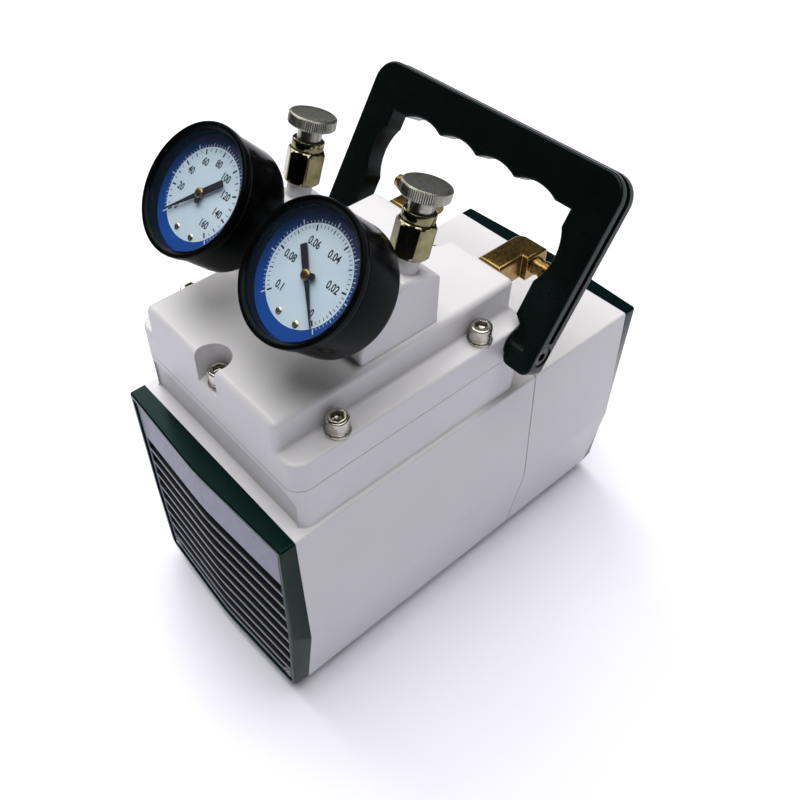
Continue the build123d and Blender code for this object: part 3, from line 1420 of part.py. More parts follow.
# -------------------------------- brass elbows with hose barbs
elbow_half = elbow_body / 2
barb_reach = barb_tip_x - elbow_x
barb_step = (barb_reach - elbow_body * 0.75) / barb_count
for side, label in ((1, "inlet_elbow"), (-1, "outlet_elbow")):
    run_back = Plane(origin=(side * elbow_x, head_rear_y, elbow_z), x_dir=(1, 0, 0), z_dir=(0, 1, 0))
    run_side = Plane(origin=(side * elbow_x, elbow_corner_y, elbow_z), x_dir=(0, 1, 0), z_dir=(side, 0, 0))
    with BuildPart() as elbow:
        with BuildSketch(Plane.XY.offset(elbow_z - elbow_half)) as corner_outline:
            with BuildLine():
                Polyline(
                    (side * (elbow_x - elbow_half), head_rear_y),
                    (side * (elbow_x + elbow_half), head_rear_y),
                    (side * (elbow_x + elbow_half), elbow_corner_y - elbow_half),
                    (side * (elbow_x + elbow_body * 0.75), elbow_corner_y - elbow_half),
                    (side * (elbow_x + elbow_body * 0.75), elbow_corner_y + elbow_half),
                    (side * (elbow_x - elbow_half), elbow_corner_y + elbow_half),
                    close=True,
                )
            make_face()
            outer = corner_outline.vertices().sort_by_distance((side * -100, 100))[0]
            fillet(outer, 5)
        extrude(amount=elbow_body)
        fillet(elbow.edges().group_by(Axis.Z)[0] + elbow.edges().group_by(Axis.Z)[-1], 1.8)
        with BuildSketch(run_side):
            Circle(barb_radius - barb_step_down)
        extrude(amount=barb_reach)
        for index in range(barb_count):
            start = barb_reach - (index + 1) * barb_step
            with BuildSketch(run_side.offset(start)):
                Circle(barb_radius)
            extrude(amount=barb_land)
            with BuildSketch(run_side.offset(start + barb_land)):
                Circle(barb_radius)
            with BuildSketch(run_side.offset(start + barb_step * 0.92)):
                Circle(barb_radius - barb_step_down)
            loft(ruled=True)
        with BuildSketch(run_back):
            Circle(elbow_thread_radius)
        extrude(amount=0.5 - elbow_thread_length)
        with BuildSketch(run_back.offset(-elbow_thread_length)):
            Circle(elbow_bore)
        extrude(amount=elbow_thread_length + elbow_corner_y - head_rear_y, mode=Mode.SUBTRACT)
        with BuildSketch(run_side):
            Circle(elbow_bore - 0.1)
        extrude(amount=barb_reach, mode=Mode.SUBTRACT)
    save(elbow, label)

# -------------------------------- folding handle
with BuildPart() as handle:
    with BuildSketch(handle_plane.offset(-handle_thickness / 2)) as grip_outline:
        with BuildLine():
            Polyline(
                (-handle_half_width, -handle_bottom),
                (-handle_half_width, handle_top),
                (handle_half_width, handle_top),
                (handle_half_width, -handle_bottom),
                (handle_inside_half_low, -handle_bottom),
                (handle_inside_half_low, handle_step_low),
                (handle_inside_half, handle_step_high),
                (handle_inside_half, scallop_cusp),
                (-handle_inside_half, scallop_cusp),
                (-handle_inside_half, handle_step_high),
                (-handle_inside_half_low, handle_step_low),
                (-handle_inside_half_low, -handle_bottom),
                close=True,
            )
        make_face()
        tops = grip_outline.vertices().group_by(Axis.Y)[-1]
        fillet(tops, handle_corner_radius)
        heels = grip_outline.vertices().group_by(Axis.Y)[0].filter_by_position(
            Axis.X, -handle_half_width - 1, handle_half_width + 1
        )
        fillet(heels, handle_heel_radius)
        scallop_half = scallop_pitch / 2
        scallop_radius = (scallop_half**2 + scallop_depth**2) / (2 * scallop_depth)
        scallop_middle_y = scallop_cusp + scallop_depth - scallop_radius
        for index in range(scallop_count):
            with Locations(((index - (scallop_count - 1) / 2) * scallop_pitch, scallop_middle_y)):
                Circle(scallop_radius, mode=Mode.SUBTRACT)
        cusps = grip_outline.vertices().filter_by_position(Axis.Y, scallop_cusp - 0.1, scallop_cusp + 0.1)
        end_cusp_x = (scallop_count - 1) / 2 * scallop_pitch
        fillet(cusps.filter_by_position(Axis.X, -end_cusp_x, end_cusp_x), cusp_fillet)
    extrude(amount=handle_thickness)
    out_of_handle = handle_plane.z_dir
    broad_faces = handle.faces().filter_by(lambda face: abs(face.normal_at().dot(out_of_handle)) > 0.99)
    fillet(broad_faces.edges(), handle_edge_radius)
    groove_half = handle_half_width - handle_groove_depth
    groove_top = handle_top - handle_groove_depth
    with BuildSketch(handle_plane.offset(-handle_groove_width / 2)):
        with BuildLine():
            Polyline(
                (-2 * handle_half_width, groove_bottom),
                (-2 * handle_half_width, 2 * handle_top),
                (2 * handle_half_width, 2 * handle_top),
                (2 * handle_half_width, groove_bottom),
                (-2 * handle_half_width, groove_bottom),
            )
        make_face()
        RectangleRounded(
            2 * groove_half, 2 * groove_top, handle_corner_radius - handle_groove_depth, mode=Mode.SUBTRACT
        )
    extrude(amount=handle_groove_width, mode=Mode.SUBTRACT)
    for side in (-1, 1):
        with BuildSketch(Plane.YZ.offset(side * handle_half_width)):
            with Locations((pivot_y, pivot_z)):
                Circle(handle_cap_radius + 0.3)
        extrude(amount=-side * handle_cap_depth, mode=Mode.SUBTRACT)
        with BuildSketch(Plane.YZ.offset(side * handle_half_width)):
            with Locations((pivot_y, pivot_z)):
                Circle(handle_bush_radius - 2 + 4 * running_gap)
        extrude(amount=-side * handle_half_width / 2, mode=Mode.SUBTRACT)
        with BuildSketch(Plane.YZ.offset(side * (handle_inside_half_low - 1))):
            with Locations((pivot_y, pivot_z)):
                Circle(handle_bush_radius + press_gap)
        extrude(amount=side * (handle_bush_length + 1), mode=Mode.SUBTRACT)
save(handle, "handle")

with BuildPart() as handle_bushes:
    for side in (-1, 1):
        with BuildSketch(Plane.YZ.offset(side * handle_inside_half_low)):
            with Locations((pivot_y, pivot_z)):
                Circle(handle_bush_radius)
                Circle(handle_pin_radius + running_gap, mode=Mode.SUBTRACT)
        extrude(amount=side * handle_bush_length)
        with BuildSketch(Plane.YZ.offset(side * handle_inside_half_low)):
            with Locations((pivot_y, pivot_z)):
                Circle(handle_bush_radius + 2)
                Circle(handle_pin_radius + running_gap, mode=Mode.SUBTRACT)
        extrude(amount=-side * handle_bush_flange)
save(handle_bushes, "handle_bushes")

with BuildPart() as handle_pivot_screws:
    for side in (-1, 1):
        with BuildSketch(Plane.YZ.offset(side * (handle_half_width - handle_cap_depth + running_gap))):
            with Locations((pivot_y, pivot_z)):
                Circle(handle_cap_radius)
        extrude(amount=side * (handle_cap_depth - 0.6))
        with BuildSketch(Plane.YZ.offset(side * head_half_width)):
            with Locations((pivot_y, pivot_z)):
                Circle(handle_pin_radius)
        extrude(amount=side * (handle_half_width - handle_cap_depth + running_gap - head_half_width))
        with BuildSketch(Plane.YZ.offset(side * head_half_width)):
            with Locations((pivot_y, pivot_z)):
                Circle(screw_radius)
        extrude(amount=side * (1 - pivot_thread_length))
        with BuildSketch(Plane.YZ.offset(side * handle_half_width)):
            with Locations((pivot_y, pivot_z)):
                RegularPolygon(2, 6, major_radius=False)
        extrude(amount=-side * 3, mode=Mode.SUBTRACT)
save(handle_pivot_screws, "handle_pivot_screws")

# -------------------------------- mains switch and cable gland
with BuildPart() as switch_housing:
    with BuildSketch(switch_plane):
        Rectangle(switch_length, switch_width)
    extrude(amount=switch_bezel)
    with BuildSketch(switch_plane):
        Rectangle(switch_length - 2.4, switch_width - 2.4)
    extrude(amount=-switch_body_depth)
    with BuildSketch(switch_plane.offset(switch_bezel)):
        Rectangle(switch_length - 5, switch_width - 5)
    extrude(amount=-switch_bezel - switch_pocket_depth, mode=Mode.SUBTRACT)
    with BuildSketch(switch_plane.offset(-switch_body_depth)):
        with Locations((-4, 0), (4, 0)):
            Rectangle(terminal_thickness, terminal_width)
    extrude(amount=-7)
save(switch_housing, "switch_housing")

rocker_axis_plane = Plane(origin=switch_plane.origin, x_dir=switch_plane.x_dir, z_dir=switch_plane.y_dir)
with BuildPart() as switch_rocker:
    rocker_half = (switch_length - 7.5) / 2
    rocker_rise = switch_bezel + 1.2
    tip = math.radians(rocker_swing / 2)
    with BuildSketch(rocker_axis_plane.offset(-(switch_width - 6) / 2)):
        with BuildLine():
            Polyline(
                (0, -rocker_rise),
                (rocker_half, -rocker_rise + rocker_half * math.tan(tip)),
                (rocker_half * 0.9, switch_pocket_depth * 0.3),
                (0, switch_pocket_depth * 0.6),
                (-rocker_half * 0.9, switch_pocket_depth * 0.3),
                (-rocker_half, -rocker_rise - rocker_half * math.tan(tip)),
                close=True,
            )
        make_face()
    extrude(amount=switch_width - 6)
    stub_half = (switch_width - 5) / 2 - running_gap
    with BuildSketch(rocker_axis_plane.offset(-stub_half)):
        Circle(rocker_stub_radius)
    extrude(amount=2 * stub_half)
save(switch_rocker, "switch_rocker")

with BuildPart() as cable_gland:
    with BuildSketch(gland_plane):
        RegularPolygon(gland_hex / 2, 6, major_radius=False)
    extrude(amount=gland_hex_height)
    with BuildSketch(gland_plane.offset(gland_hex_height)):
        Circle(gland_bore + gland_wall)
    extrude(amount=gland_reach - gland_hex_height - 1)
    with BuildSketch(gland_plane):
        Circle(gland_bore + gland_thread_wall)
    extrude(amount=-gland_thread_length)
    with BuildSketch(gland_plane.offset(gland_reach)):
        Circle(gland_bore)
    extrude(amount=-gland_reach - gland_thread_length, mode=Mode.SUBTRACT)
save(cable_gland, "cable_gland")

with BuildPart() as gland_nuts:
    with BuildSketch(gland_plane.offset(gland_hex_height)):
        RegularPolygon(gland_hex / 2 - 0.5, 6, major_radius=False)
        Circle(gland_bore + gland_wall + running_gap, mode=Mode.SUBTRACT)
    extrude(amount=gland_reach - gland_hex_height)
    with BuildSketch(gland_plane.offset(gland_reach - 1)):
        Circle(gland_bore + gland_wall + running_gap)
        Circle(gland_bore, mode=Mode.SUBTRACT)
    extrude(amount=1)
    with BuildSketch(gland_plane.offset(-case_wall - 0.25)):
        RegularPolygon(gland_hex / 2, 6, major_radius=False)
        Circle(gland_bore + gland_thread_wall + running_gap, mode=Mode.SUBTRACT)
    extrude(amount=-3)
save(gland_nuts, "gland_nuts")
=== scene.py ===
import json
import math

import bmesh
import bpy
import numpy as np
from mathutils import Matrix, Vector


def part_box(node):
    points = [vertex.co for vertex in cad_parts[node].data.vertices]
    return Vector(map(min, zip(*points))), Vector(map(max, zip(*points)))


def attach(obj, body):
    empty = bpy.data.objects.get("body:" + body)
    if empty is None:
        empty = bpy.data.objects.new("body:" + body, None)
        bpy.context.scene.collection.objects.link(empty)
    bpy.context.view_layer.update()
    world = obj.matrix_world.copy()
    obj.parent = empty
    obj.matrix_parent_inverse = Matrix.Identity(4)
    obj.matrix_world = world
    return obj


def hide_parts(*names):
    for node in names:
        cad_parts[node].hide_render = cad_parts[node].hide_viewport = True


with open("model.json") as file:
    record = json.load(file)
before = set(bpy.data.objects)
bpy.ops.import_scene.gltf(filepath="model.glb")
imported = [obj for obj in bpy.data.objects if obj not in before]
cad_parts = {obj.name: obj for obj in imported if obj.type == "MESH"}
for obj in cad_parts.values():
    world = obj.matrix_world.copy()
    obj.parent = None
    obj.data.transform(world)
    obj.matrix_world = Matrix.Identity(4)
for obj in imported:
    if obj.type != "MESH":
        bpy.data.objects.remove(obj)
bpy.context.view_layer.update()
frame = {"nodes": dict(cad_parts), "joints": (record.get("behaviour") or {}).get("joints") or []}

MM = 0.001
TAU = 2 * math.pi


# ------------------------------------------------------------------ places on the pump

class Seat:
    """A place with three square directions: across and up lie in its face, out leaves it."""

    def __init__(self, origin, across, out):
        self.origin = np.array(origin, float)
        self.out = np.array(out, float) / np.linalg.norm(out)
        self.across = np.array(across, float) / np.linalg.norm(across)
        self.up = np.cross(self.out, self.across)

    def put(self, points):
        """Points given as (across, up, out) in millimetres become points of the pump in metres."""
        points = np.asarray(points, float)
        world = (self.origin + points[..., 0:1] * self.across
                 + points[..., 1:2] * self.up + points[..., 2:3] * self.out)
        return world * MM


JOINTS = {joint["name"]: joint for joint in frame["joints"]}


def joint_seat(name):
    """A joint's place on the pump, looking up along its axis whichever way the joint turns."""
    joint = JOINTS[name]
    axis = np.array(joint["axis"], float)
    return Seat(np.array(joint["pos_m"]) / MM, (1, 0, 0), axis * np.sign(axis[2]))


def upright_seat(x, y, z):
    """A level place looking up."""
    return Seat((x, y, z), (1, 0, 0), (0, 0, 1))


def box_mm(node):
    """A node's lowest and highest corners in millimetres."""
    return [np.array(corner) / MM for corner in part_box(node)]


GAUGE_SEATS = {kind: joint_seat(kind + "_pointer_swing") for kind in ("pressure", "vacuum")}
VALVE_SEATS = {kind: joint_seat(kind + "_valve_turn") for kind in ("vacuum", "pressure")}
GAUGE_TILT = math.atan2(-GAUGE_SEATS["vacuum"].out[1], GAUGE_SEATS["vacuum"].out[2])
COVER_LOW, COVER_HIGH = box_mm("head_cover")


# ------------------------------------------------------------------ meshes from whole arrays

def mesh_from(name, points, faces, shading=35.0):
    """A mesh object at the origin from points and faces, smooth except at edges over the angle."""
    mesh = bpy.data.meshes.new(name)
    mesh.from_pydata(points.tolist(), [], faces)
    mesh.update()
    smooth_by_angle(mesh, shading)
    piece = bpy.data.objects.new(name, mesh)
    bpy.context.scene.collection.objects.link(piece)
    return piece


def smooth_by_angle(mesh, degrees):
    """Every face smooth, and an edge sharp where its two faces turn by more than the angle."""
    mesh.polygons.foreach_set("use_smooth", np.ones(len(mesh.polygons), bool))
    mesh.set_sharp_from_angle(angle=math.radians(degrees))


def quads_between(starts, count, wrap):
    """Quads from each closed row of points to the next.

    starts are the numbers of the rows' first points, count is a row's points and wrap is all of them.
    """
    column = np.arange(count)
    ahead = (column + 1) % count
    rows = np.asarray(starts)[:, None]
    above = (rows + count) % wrap
    return np.stack([rows + column, rows + ahead, above + ahead, above + column], -1).reshape(-1, 4).tolist()


def turned_arrays(rows, turns):
    """Points and faces of a turned form: row by row a radius, plain or one per direction, and a height.

    A point is (radius cos a, radius sin a, height) for angles a evenly round the axis. The first and last
    rows close to one point where their radius is nought, and otherwise the last row joins the first.
    """
    angle = np.arange(turns) * TAU / turns
    radius = np.array([np.broadcast_to(r, turns) for r, _ in rows])
    height = np.array([np.broadcast_to(h, turns) for _, h in rows])
    points = np.stack([radius * np.cos(angle), radius * np.sin(angle), height], -1)
    capped = [not np.any(radius[0]), not np.any(radius[-1])]
    low = 1 if capped[0] else 0
    high = len(rows) - 1 if capped[1] else len(rows)
    ring = points[low:high].reshape(-1, 3)
    count = high - low
    column = np.arange(turns)
    ahead = (column + 1) % turns
    strips = count - 1 if any(capped) else count
    quads = quads_between(np.arange(strips) * turns, turns, count * turns)
    extra = []
    if capped[0]:
        extra.append(points[0, 0])
        quads += np.stack([np.full(turns, len(ring)), ahead, column], -1).tolist()
    if capped[1]:
        last = (count - 1) * turns
        tip = len(ring) + len(extra)
        extra.append(points[-1, 0])
        quads += np.stack([np.full(turns, tip), last + column, last + ahead], -1).tolist()
    if extra:
        ring = np.concatenate([ring, np.array(extra)])
    return ring, quads


def turned(name, seats, rows, turns=96, shading=35.0):
    """One piece made of the same turned form at each of several seats."""
    points, faces = turned_arrays(rows, turns)
    return repeated(name, seats, points, faces, shading)


def repeated(name, seats, points, faces, shading=35.0):
    """One piece made of the same form at each seat, in millimetres about the seat."""
    return outward(mesh_from(name, *gathered([(seat.put(points), faces) for seat in seats]), shading))


def gathered(parts):
    """Several sets of points and faces as one: each set's faces count on from the points before it."""
    points, faces, shift = [], [], 0
    for some_points, some_faces in parts:
        points.append(some_points)
        faces += [(np.array(face) + shift).tolist() for face in some_faces]
        shift += len(some_points)
    return np.concatenate(points), faces


def outward(piece):
    """The piece with its faces turned outwards all over."""
    edit = bmesh.new()
    edit.from_mesh(piece.data)
    bmesh.ops.recalc_face_normals(edit, faces=edit.faces)
    edit.to_mesh(piece.data)
    edit.free()
    return piece


def hexagon(flat, turns=96):
    """Radius in each direction of a regular hexagon with that distance from its middle to a flat."""
    angle = np.arange(turns) * TAU / turns
    return flat / np.cos((angle + TAU / 12) % (TAU / 6) - TAU / 12)


def rounded(corners, radii, steps=5):
    """A path through (radius, height) corners, each rounded by an arc that meets its two runs smoothly.

    The arc is the quadratic curve through the corner's two tangent points with the corner as its control.
    """
    corners = np.array(corners, float)
    path = [corners[0]]
    for before, corner, after, radius in zip(corners[:-2], corners[1:-1], corners[2:], radii):
        if radius == 0:
            path.append(corner)
            continue
        back, on = before - corner, after - corner
        reach = min(radius, np.linalg.norm(back) * 0.49, np.linalg.norm(on) * 0.49)
        start = corner + back / np.linalg.norm(back) * reach
        end = corner + on / np.linalg.norm(on) * reach
        t = np.linspace(0, 1, steps)[:, None]
        path += list((1 - t) ** 2 * start + 2 * t * (1 - t) * corner + t**2 * end)
    path.append(corners[-1])
    return [(point[0], point[1]) for point in path]


def refined(node, name, shading=32.0):
    """A merged copy of a CAD node's mesh: its loose triangles joined, smooth except at real edges."""
    source = frame["nodes"][node].data
    mesh = source.copy()
    mesh.name = name
    edit = bmesh.new()
    edit.from_mesh(mesh)
    bmesh.ops.remove_doubles(edit, verts=edit.verts, dist=2e-6)
    bmesh.ops.dissolve_degenerate(edit, edges=edit.edges, dist=1e-6)
    edit.to_mesh(mesh)
    edit.free()
    if mesh.has_custom_normals:
        mesh.attributes.remove(mesh.attributes["custom_normal"])
    smooth_by_angle(mesh, shading)
    piece = bpy.data.objects.new(name, mesh)
    bpy.context.scene.collection.objects.link(piece)
    return piece


def mark_inset(piece):
    """The attribute inset: how many millimetres each point lies behind the panel's face along Y.

    The panel is a shallow fold, so its face runs back from the middle by 0.0493 of the distance sideways.
    """
    points = np.zeros(len(piece.data.vertices) * 3)
    piece.data.vertices.foreach_get("co", points)
    reach = np.abs(points[1::3]) + 0.0493 * np.abs(points[0::3])
    marks = piece.data.attributes.new("inset", "FLOAT", "POINT")
    marks.data.foreach_set("value", ((reach.max() - reach) / MM).astype(np.float32))


# ------------------------------------------------------------------ materials

class Finish:
    """One material: a principled shader with its pattern nodes joined by name."""

    def __init__(self, name):
        self.material = bpy.data.materials.new(name)
        self.material.use_nodes = True
        self.tree = self.material.node_tree
        self.tree.nodes.clear()
        self.output = self.tree.nodes.new("ShaderNodeOutputMaterial")
        self.shader = self.tree.nodes.new("ShaderNodeBsdfPrincipled")
        self.tree.links.new(self.shader.outputs[0], self.output.inputs[0])
        self.places = self.tree.nodes.new("ShaderNodeTexCoord").outputs["Object"]

    def set(self, **values):
        """Plain numbers and colours straight on the shader's sockets."""
        for socket, value in values.items():
            self.shader.inputs[socket.replace("_", " ")].default_value = value
        return self

    def join(self, out, into):
        """One node's output joined to another's socket."""
        self.tree.links.new(out, into)

    def noise(self, size, detail=3.0, rough=0.5, stretch=None):
        """Noise whose features are about that many millimetres wide, drawn finer along the axes given."""
        node = self.tree.nodes.new("ShaderNodeTexNoise")
        node.inputs["Scale"].default_value = 1.0 / (size * MM)
        node.inputs["Detail"].default_value = detail
        node.inputs["Roughness"].default_value = rough
        source = self.places
        if stretch:
            scale = self.tree.nodes.new("ShaderNodeMapping")
            scale.inputs["Scale"].default_value = stretch
            self.join(source, scale.inputs["Vector"])
            source = scale.outputs[0]
        self.join(source, node.inputs["Vector"])
        return node.outputs["Fac"]

    def cells(self, size):
        """Distance to the nearest of scattered points, for pits and specks."""
        node = self.tree.nodes.new("ShaderNodeTexVoronoi")
        node.inputs["Scale"].default_value = 1.0 / (size * MM)
        self.join(self.places, node.inputs["Vector"])
        return node.outputs["Distance"]

    def between(self, fac, low, high, start=0.3, stop=0.7):
        """The value's middle range spread from low to high."""
        node = self.tree.nodes.new("ShaderNodeMapRange")
        node.inputs["From Min"].default_value = start
        node.inputs["From Max"].default_value = stop
        node.inputs["To Min"].default_value = low
        node.inputs["To Max"].default_value = high
        self.join(fac, node.inputs["Value"])
        return node.outputs[0]

    def blend(self, fac, first, second):
        """A colour between two, or over another one."""
        node = self.tree.nodes.new("ShaderNodeMix")
        node.data_type = "RGBA"
        self.join(fac, node.inputs["Factor"])
        for value, letter in ((first, "A"), (second, "B")):
            socket = next(s for s in node.inputs if s.name == letter and s.type == "RGBA")
            if isinstance(value, tuple):
                socket.default_value = value + (1,)
            else:
                self.join(value, socket)
        return next(s for s in node.outputs if s.type == "RGBA")

    def clouded(self, size, detail, dark, light):
        """A colour that drifts between two, in clouds about that many millimetres wide."""
        return self.blend(self.between(self.noise(size, detail), 0, 1), dark, light)

    def edge(self, radius, strength=1.0):
        """How much a place differs from its rounded neighbourhood: nought on flats, more on edges, where
        finishes blend in a lighter colour as a painted highlight.
        """
        node = self.tree.nodes.new("ShaderNodeBevel")
        node.samples = 4
        node.inputs["Radius"].default_value = radius * MM
        facing = self.tree.nodes.new("ShaderNodeNewGeometry")
        dot = self.tree.nodes.new("ShaderNodeVectorMath")
        dot.operation = "DOT_PRODUCT"
        self.join(node.outputs[0], dot.inputs[0])
        self.join(facing.outputs["Normal"], dot.inputs[1])
        return self.between(dot.outputs["Value"], strength, 0.0, 0.75, 1.0)

    def relief(self, height, strength, depth, soft_edge=0.0):
        """Bump from a height, depth in millimetres, over edges softened by a radius in millimetres."""
        node = self.tree.nodes.new("ShaderNodeBump")
        node.inputs["Strength"].default_value = strength
        node.inputs["Distance"].default_value = depth * MM
        self.join(height, node.inputs["Height"])
        if soft_edge:
            soft = self.tree.nodes.new("ShaderNodeBevel")
            soft.samples = 4
            soft.inputs["Radius"].default_value = soft_edge * MM
            self.join(soft.outputs[0], node.inputs["Normal"])
        self.join(node.outputs[0], self.shader.inputs["Normal"])
        return self

    def colour(self, out):
        """The surface's colour, taken from an output."""
        self.join(out, self.shader.inputs["Base Color"])
        return self

    def shine(self, size, detail, low, high, stretch=None):
        """The surface's roughness, drifting from low to high in clouds about that many millimetres wide."""
        uneven = self.between(self.noise(size, detail, stretch=stretch), low, high)
        self.join(uneven, self.shader.inputs["Roughness"])
        return self


def painted_casting():
    """White baked enamel over a casting: faint orange peel, slow tone changes and specks of dust."""
    coat = Finish("white_enamel").set(Specular_IOR_Level=0.4, Coat_Weight=0.15, Coat_Roughness=0.3)
    tone = coat.clouded(38, 2, (0.597, 0.592, 0.622), (0.622, 0.617, 0.647))
    specks = coat.between(coat.cells(2.6), 1, 0, 0.02, 0.06)
    coat.colour(coat.blend(specks, tone, (0.50, 0.49, 0.51)))
    coat.shine(9, 3, 0.38, 0.45)
    return coat.relief(coat.noise(0.75, 2, 0.4), 0.16, 0.12, 0.45).material


def pressed_green():
    """Dark green moulding with a fine satin grain, lighter teal edges as a painted highlight, and a shine
    tinted teal as a painted highlight colour.
    """
    coat = Finish("dark_green_moulding").set(IOR=1.38, Specular_IOR_Level=0.18)
    # the teal tint on the shine is a painted highlight colour
    coat.set(Specular_Tint=(0.45, 1.0, 0.95, 1.0))
    base = coat.clouded(24, 3, (0.0006, 0.0052, 0.0054), (0.0008, 0.0064, 0.0064))
    # lighter teal along the edges: a painted highlight
    coat.colour(coat.blend(coat.edge(0.5, 0.5), base, (0.014, 0.06, 0.055)))
    coat.shine(5, 3, 0.21, 0.26)
    return coat.relief(coat.noise(0.5, 2), 0.07, 0.05, 0.3).material


def moulded_grey():
    """Lavender grey moulding with a fine spark-eroded grain, lighter along its edges as a painted highlight,
    and near black inside its louvres as painted shade where no light comes.

    The piece's own attribute, inset, says how many millimetres a place lies behind the panel's face.
    """
    coat = Finish("grey_moulding").set(Specular_IOR_Level=0.4)
    base = coat.clouded(20, 3, (0.23, 0.235, 0.315), (0.26, 0.265, 0.35))
    # lighter lavender along the edges: a painted highlight
    highlighted_edges = coat.blend(coat.edge(0.4, 0.3), base, (0.50, 0.50, 0.58))
    # near black from 0.15 to 0.6 mm behind the face: painted shade inside the louvres
    depth = coat.tree.nodes.new("ShaderNodeAttribute")
    depth.attribute_name = "inset"
    painted_louvre_shade = coat.between(depth.outputs["Fac"], 0, 1, 0.15, 0.6)
    coat.colour(coat.blend(painted_louvre_shade, highlighted_edges, (0.006, 0.006, 0.008)))
    coat.shine(3, 3, 0.42, 0.58)
    return coat.relief(coat.noise(0.35, 2), 0.22, 0.06, 0.25).material


def bright_steel():
    """Stainless steel with fine turning marks, faint smears and a painted highlight along its edges."""
    coat = Finish("bright_stainless").set(Metallic=1.0)
    base = coat.clouded(3, 3, (0.38, 0.36, 0.31), (0.52, 0.50, 0.45))
    # nearly white along the edges: a painted highlight
    coat.colour(coat.blend(coat.edge(0.3, 0.5), base, (0.82, 0.80, 0.76)))
    coat.shine(1.2, 3, 0.16, 0.24, stretch=(1, 1, 5))
    return coat.relief(coat.noise(0.25, 2, stretch=(1, 1, 6)), 0.03, 0.02, 0.15).material


def nickel_plate():
    """Bright nickel on brass: warm grey with a yellow cast away from its edges, faint drawn marks, and a
    painted highlight along its edges.
    """
    coat = Finish("bright_nickel_plate").set(Metallic=1.0)
    base = coat.clouded(5, 3, (0.15, 0.14, 0.065), (0.26, 0.24, 0.13))
    # pale along the edges: a painted highlight
    coat.colour(coat.blend(coat.edge(0.4, 0.6), base, (0.88, 0.86, 0.78)))
    coat.shine(1.6, 3, 0.08, 0.18)
    return coat.relief(coat.noise(0.3, 2, stretch=(1, 1, 4)), 0.08, 0.03, 0.12).material


def satin_nickel():
    """Knob metal: satin nickel with a fine turned grain."""
    coat = Finish("satin_nickel_knob").set(Metallic=1.0)
    coat.colour(coat.clouded(2.2, 4, (0.30, 0.30, 0.25), (0.42, 0.42, 0.37)))
    coat.shine(0.8, 3, 0.26, 0.38)
    return coat.relief(coat.noise(0.22, 2), 0.15, 0.03, 0.12).material


def yellow_brass():
    """Golden brass with tool marks, browner away from its edges, and bright gold along them as a painted
    highlight.
    """
    coat = Finish("golden_brass").set(Metallic=1.0)
    base = coat.clouded(4.5, 4, (0.22, 0.14, 0.042), (0.31, 0.20, 0.066))
    # bright gold along the edges: a painted highlight
    coat.colour(coat.blend(coat.edge(0.5, 0.8), base, (0.95, 0.70, 0.30)))
    coat.shine(1.5, 3, 0.24, 0.36)
    return coat.relief(coat.noise(0.5, 2), 0.05, 0.01, 0.3).material


def dark_brass():
    """Stem brass gone dull and greenish brown."""
    coat = Finish("dull_brass").set(Metallic=1.0)
    coat.colour(coat.clouded(2.5, 4, (0.12, 0.12, 0.07), (0.34, 0.30, 0.17)))
    coat.shine(2, 3, 0.28, 0.5)
    return coat.relief(coat.noise(0.3, 2), 0.2, 0.04, 0.15).material


def gauge_enamel():
    """Gloss black stoved enamel on a spun steel case, slightly uneven in its shine, which is tinted teal as
    a painted reflection colour.
    """
    coat = Finish("gloss_black_enamel").set(IOR=1.25, Specular_IOR_Level=0.12)
    # the teal tint on the shine is a painted reflection colour
    coat.set(Specular_Tint=(0.5, 0.95, 0.95, 1.0))
    coat.colour(coat.clouded(12, 3, (0.0012, 0.0012, 0.0015), (0.003, 0.003, 0.0035)))
    coat.shine(6, 3, 0.12, 0.22)
    return coat.relief(coat.noise(1.6, 2), 0.04, 0.04, 0.2).material


def handle_plastic():
    """Glass-filled black nylon: satin, with a faint flow grain, a green tint in its shine as a painted
    highlight colour, and a painted green highlight along its edges.
    """
    coat = Finish("black_handle_nylon").set(IOR=1.35, Specular_IOR_Level=0.26)
    # the green tint on the shine is a painted highlight colour
    coat.set(Specular_Tint=(0.6, 1.0, 0.85, 1.0))
    base = coat.clouded(14, 4, (0.0014, 0.0026, 0.0025), (0.0020, 0.0034, 0.0032))
    # green along the edges: a painted highlight
    coat.colour(coat.blend(coat.edge(0.6, 0.3), base, (0.010, 0.026, 0.021)))
    coat.shine(9, 3, 0.26, 0.32)
    return coat.relief(coat.noise(0.45, 3), 0.1, 0.05, 0.3).material


def moulded_black():
    """Plain black moulding for the switch, the gland and the fan."""
    coat = Finish("black_moulding").set(Specular_IOR_Level=0.45)
    coat.colour(coat.clouded(8, 3, (0.008, 0.008, 0.008), (0.018, 0.018, 0.018)))
    coat.shine(3, 3, 0.35, 0.5)
    return coat.relief(coat.noise(0.4, 2), 0.2, 0.06, 0.25).material


def foot_rubber():
    """Matt black rubber with a dusty bloom and tiny pits."""
    coat = Finish("matt_black_rubber").set(Specular_IOR_Level=0.25, Sheen_Weight=0.1)
    coat.colour(coat.clouded(3, 4, (0.012, 0.012, 0.012), (0.035, 0.035, 0.034)))
    coat.shine(1.5, 3, 0.7, 0.9)
    return coat.relief(coat.cells(0.5), 0.25, 0.08).material


def rubber_sheet(name, dark, light):
    """Rubber with a faint woven lay."""
    coat = Finish(name).set(Specular_IOR_Level=0.3)
    coat.colour(coat.clouded(2.5, 4, dark, light))
    coat.shine(1.5, 3, 0.55, 0.8)
    return coat.relief(coat.noise(0.5, 2, stretch=(3, 1, 1)), 0.3, 0.06).material


def machined(name, dark, light, low=0.25, high=0.45, grain=0.4):
    """Machined metal: tone changes, tool marks along one way and softened edges."""
    coat = Finish(name).set(Metallic=1.0)
    coat.colour(coat.clouded(6, 4, dark, light))
    coat.shine(2.5, 3, low, high)
    return coat.relief(coat.noise(grain, 2, stretch=(1, 6, 1)), 0.2, 0.05, 0.2).material


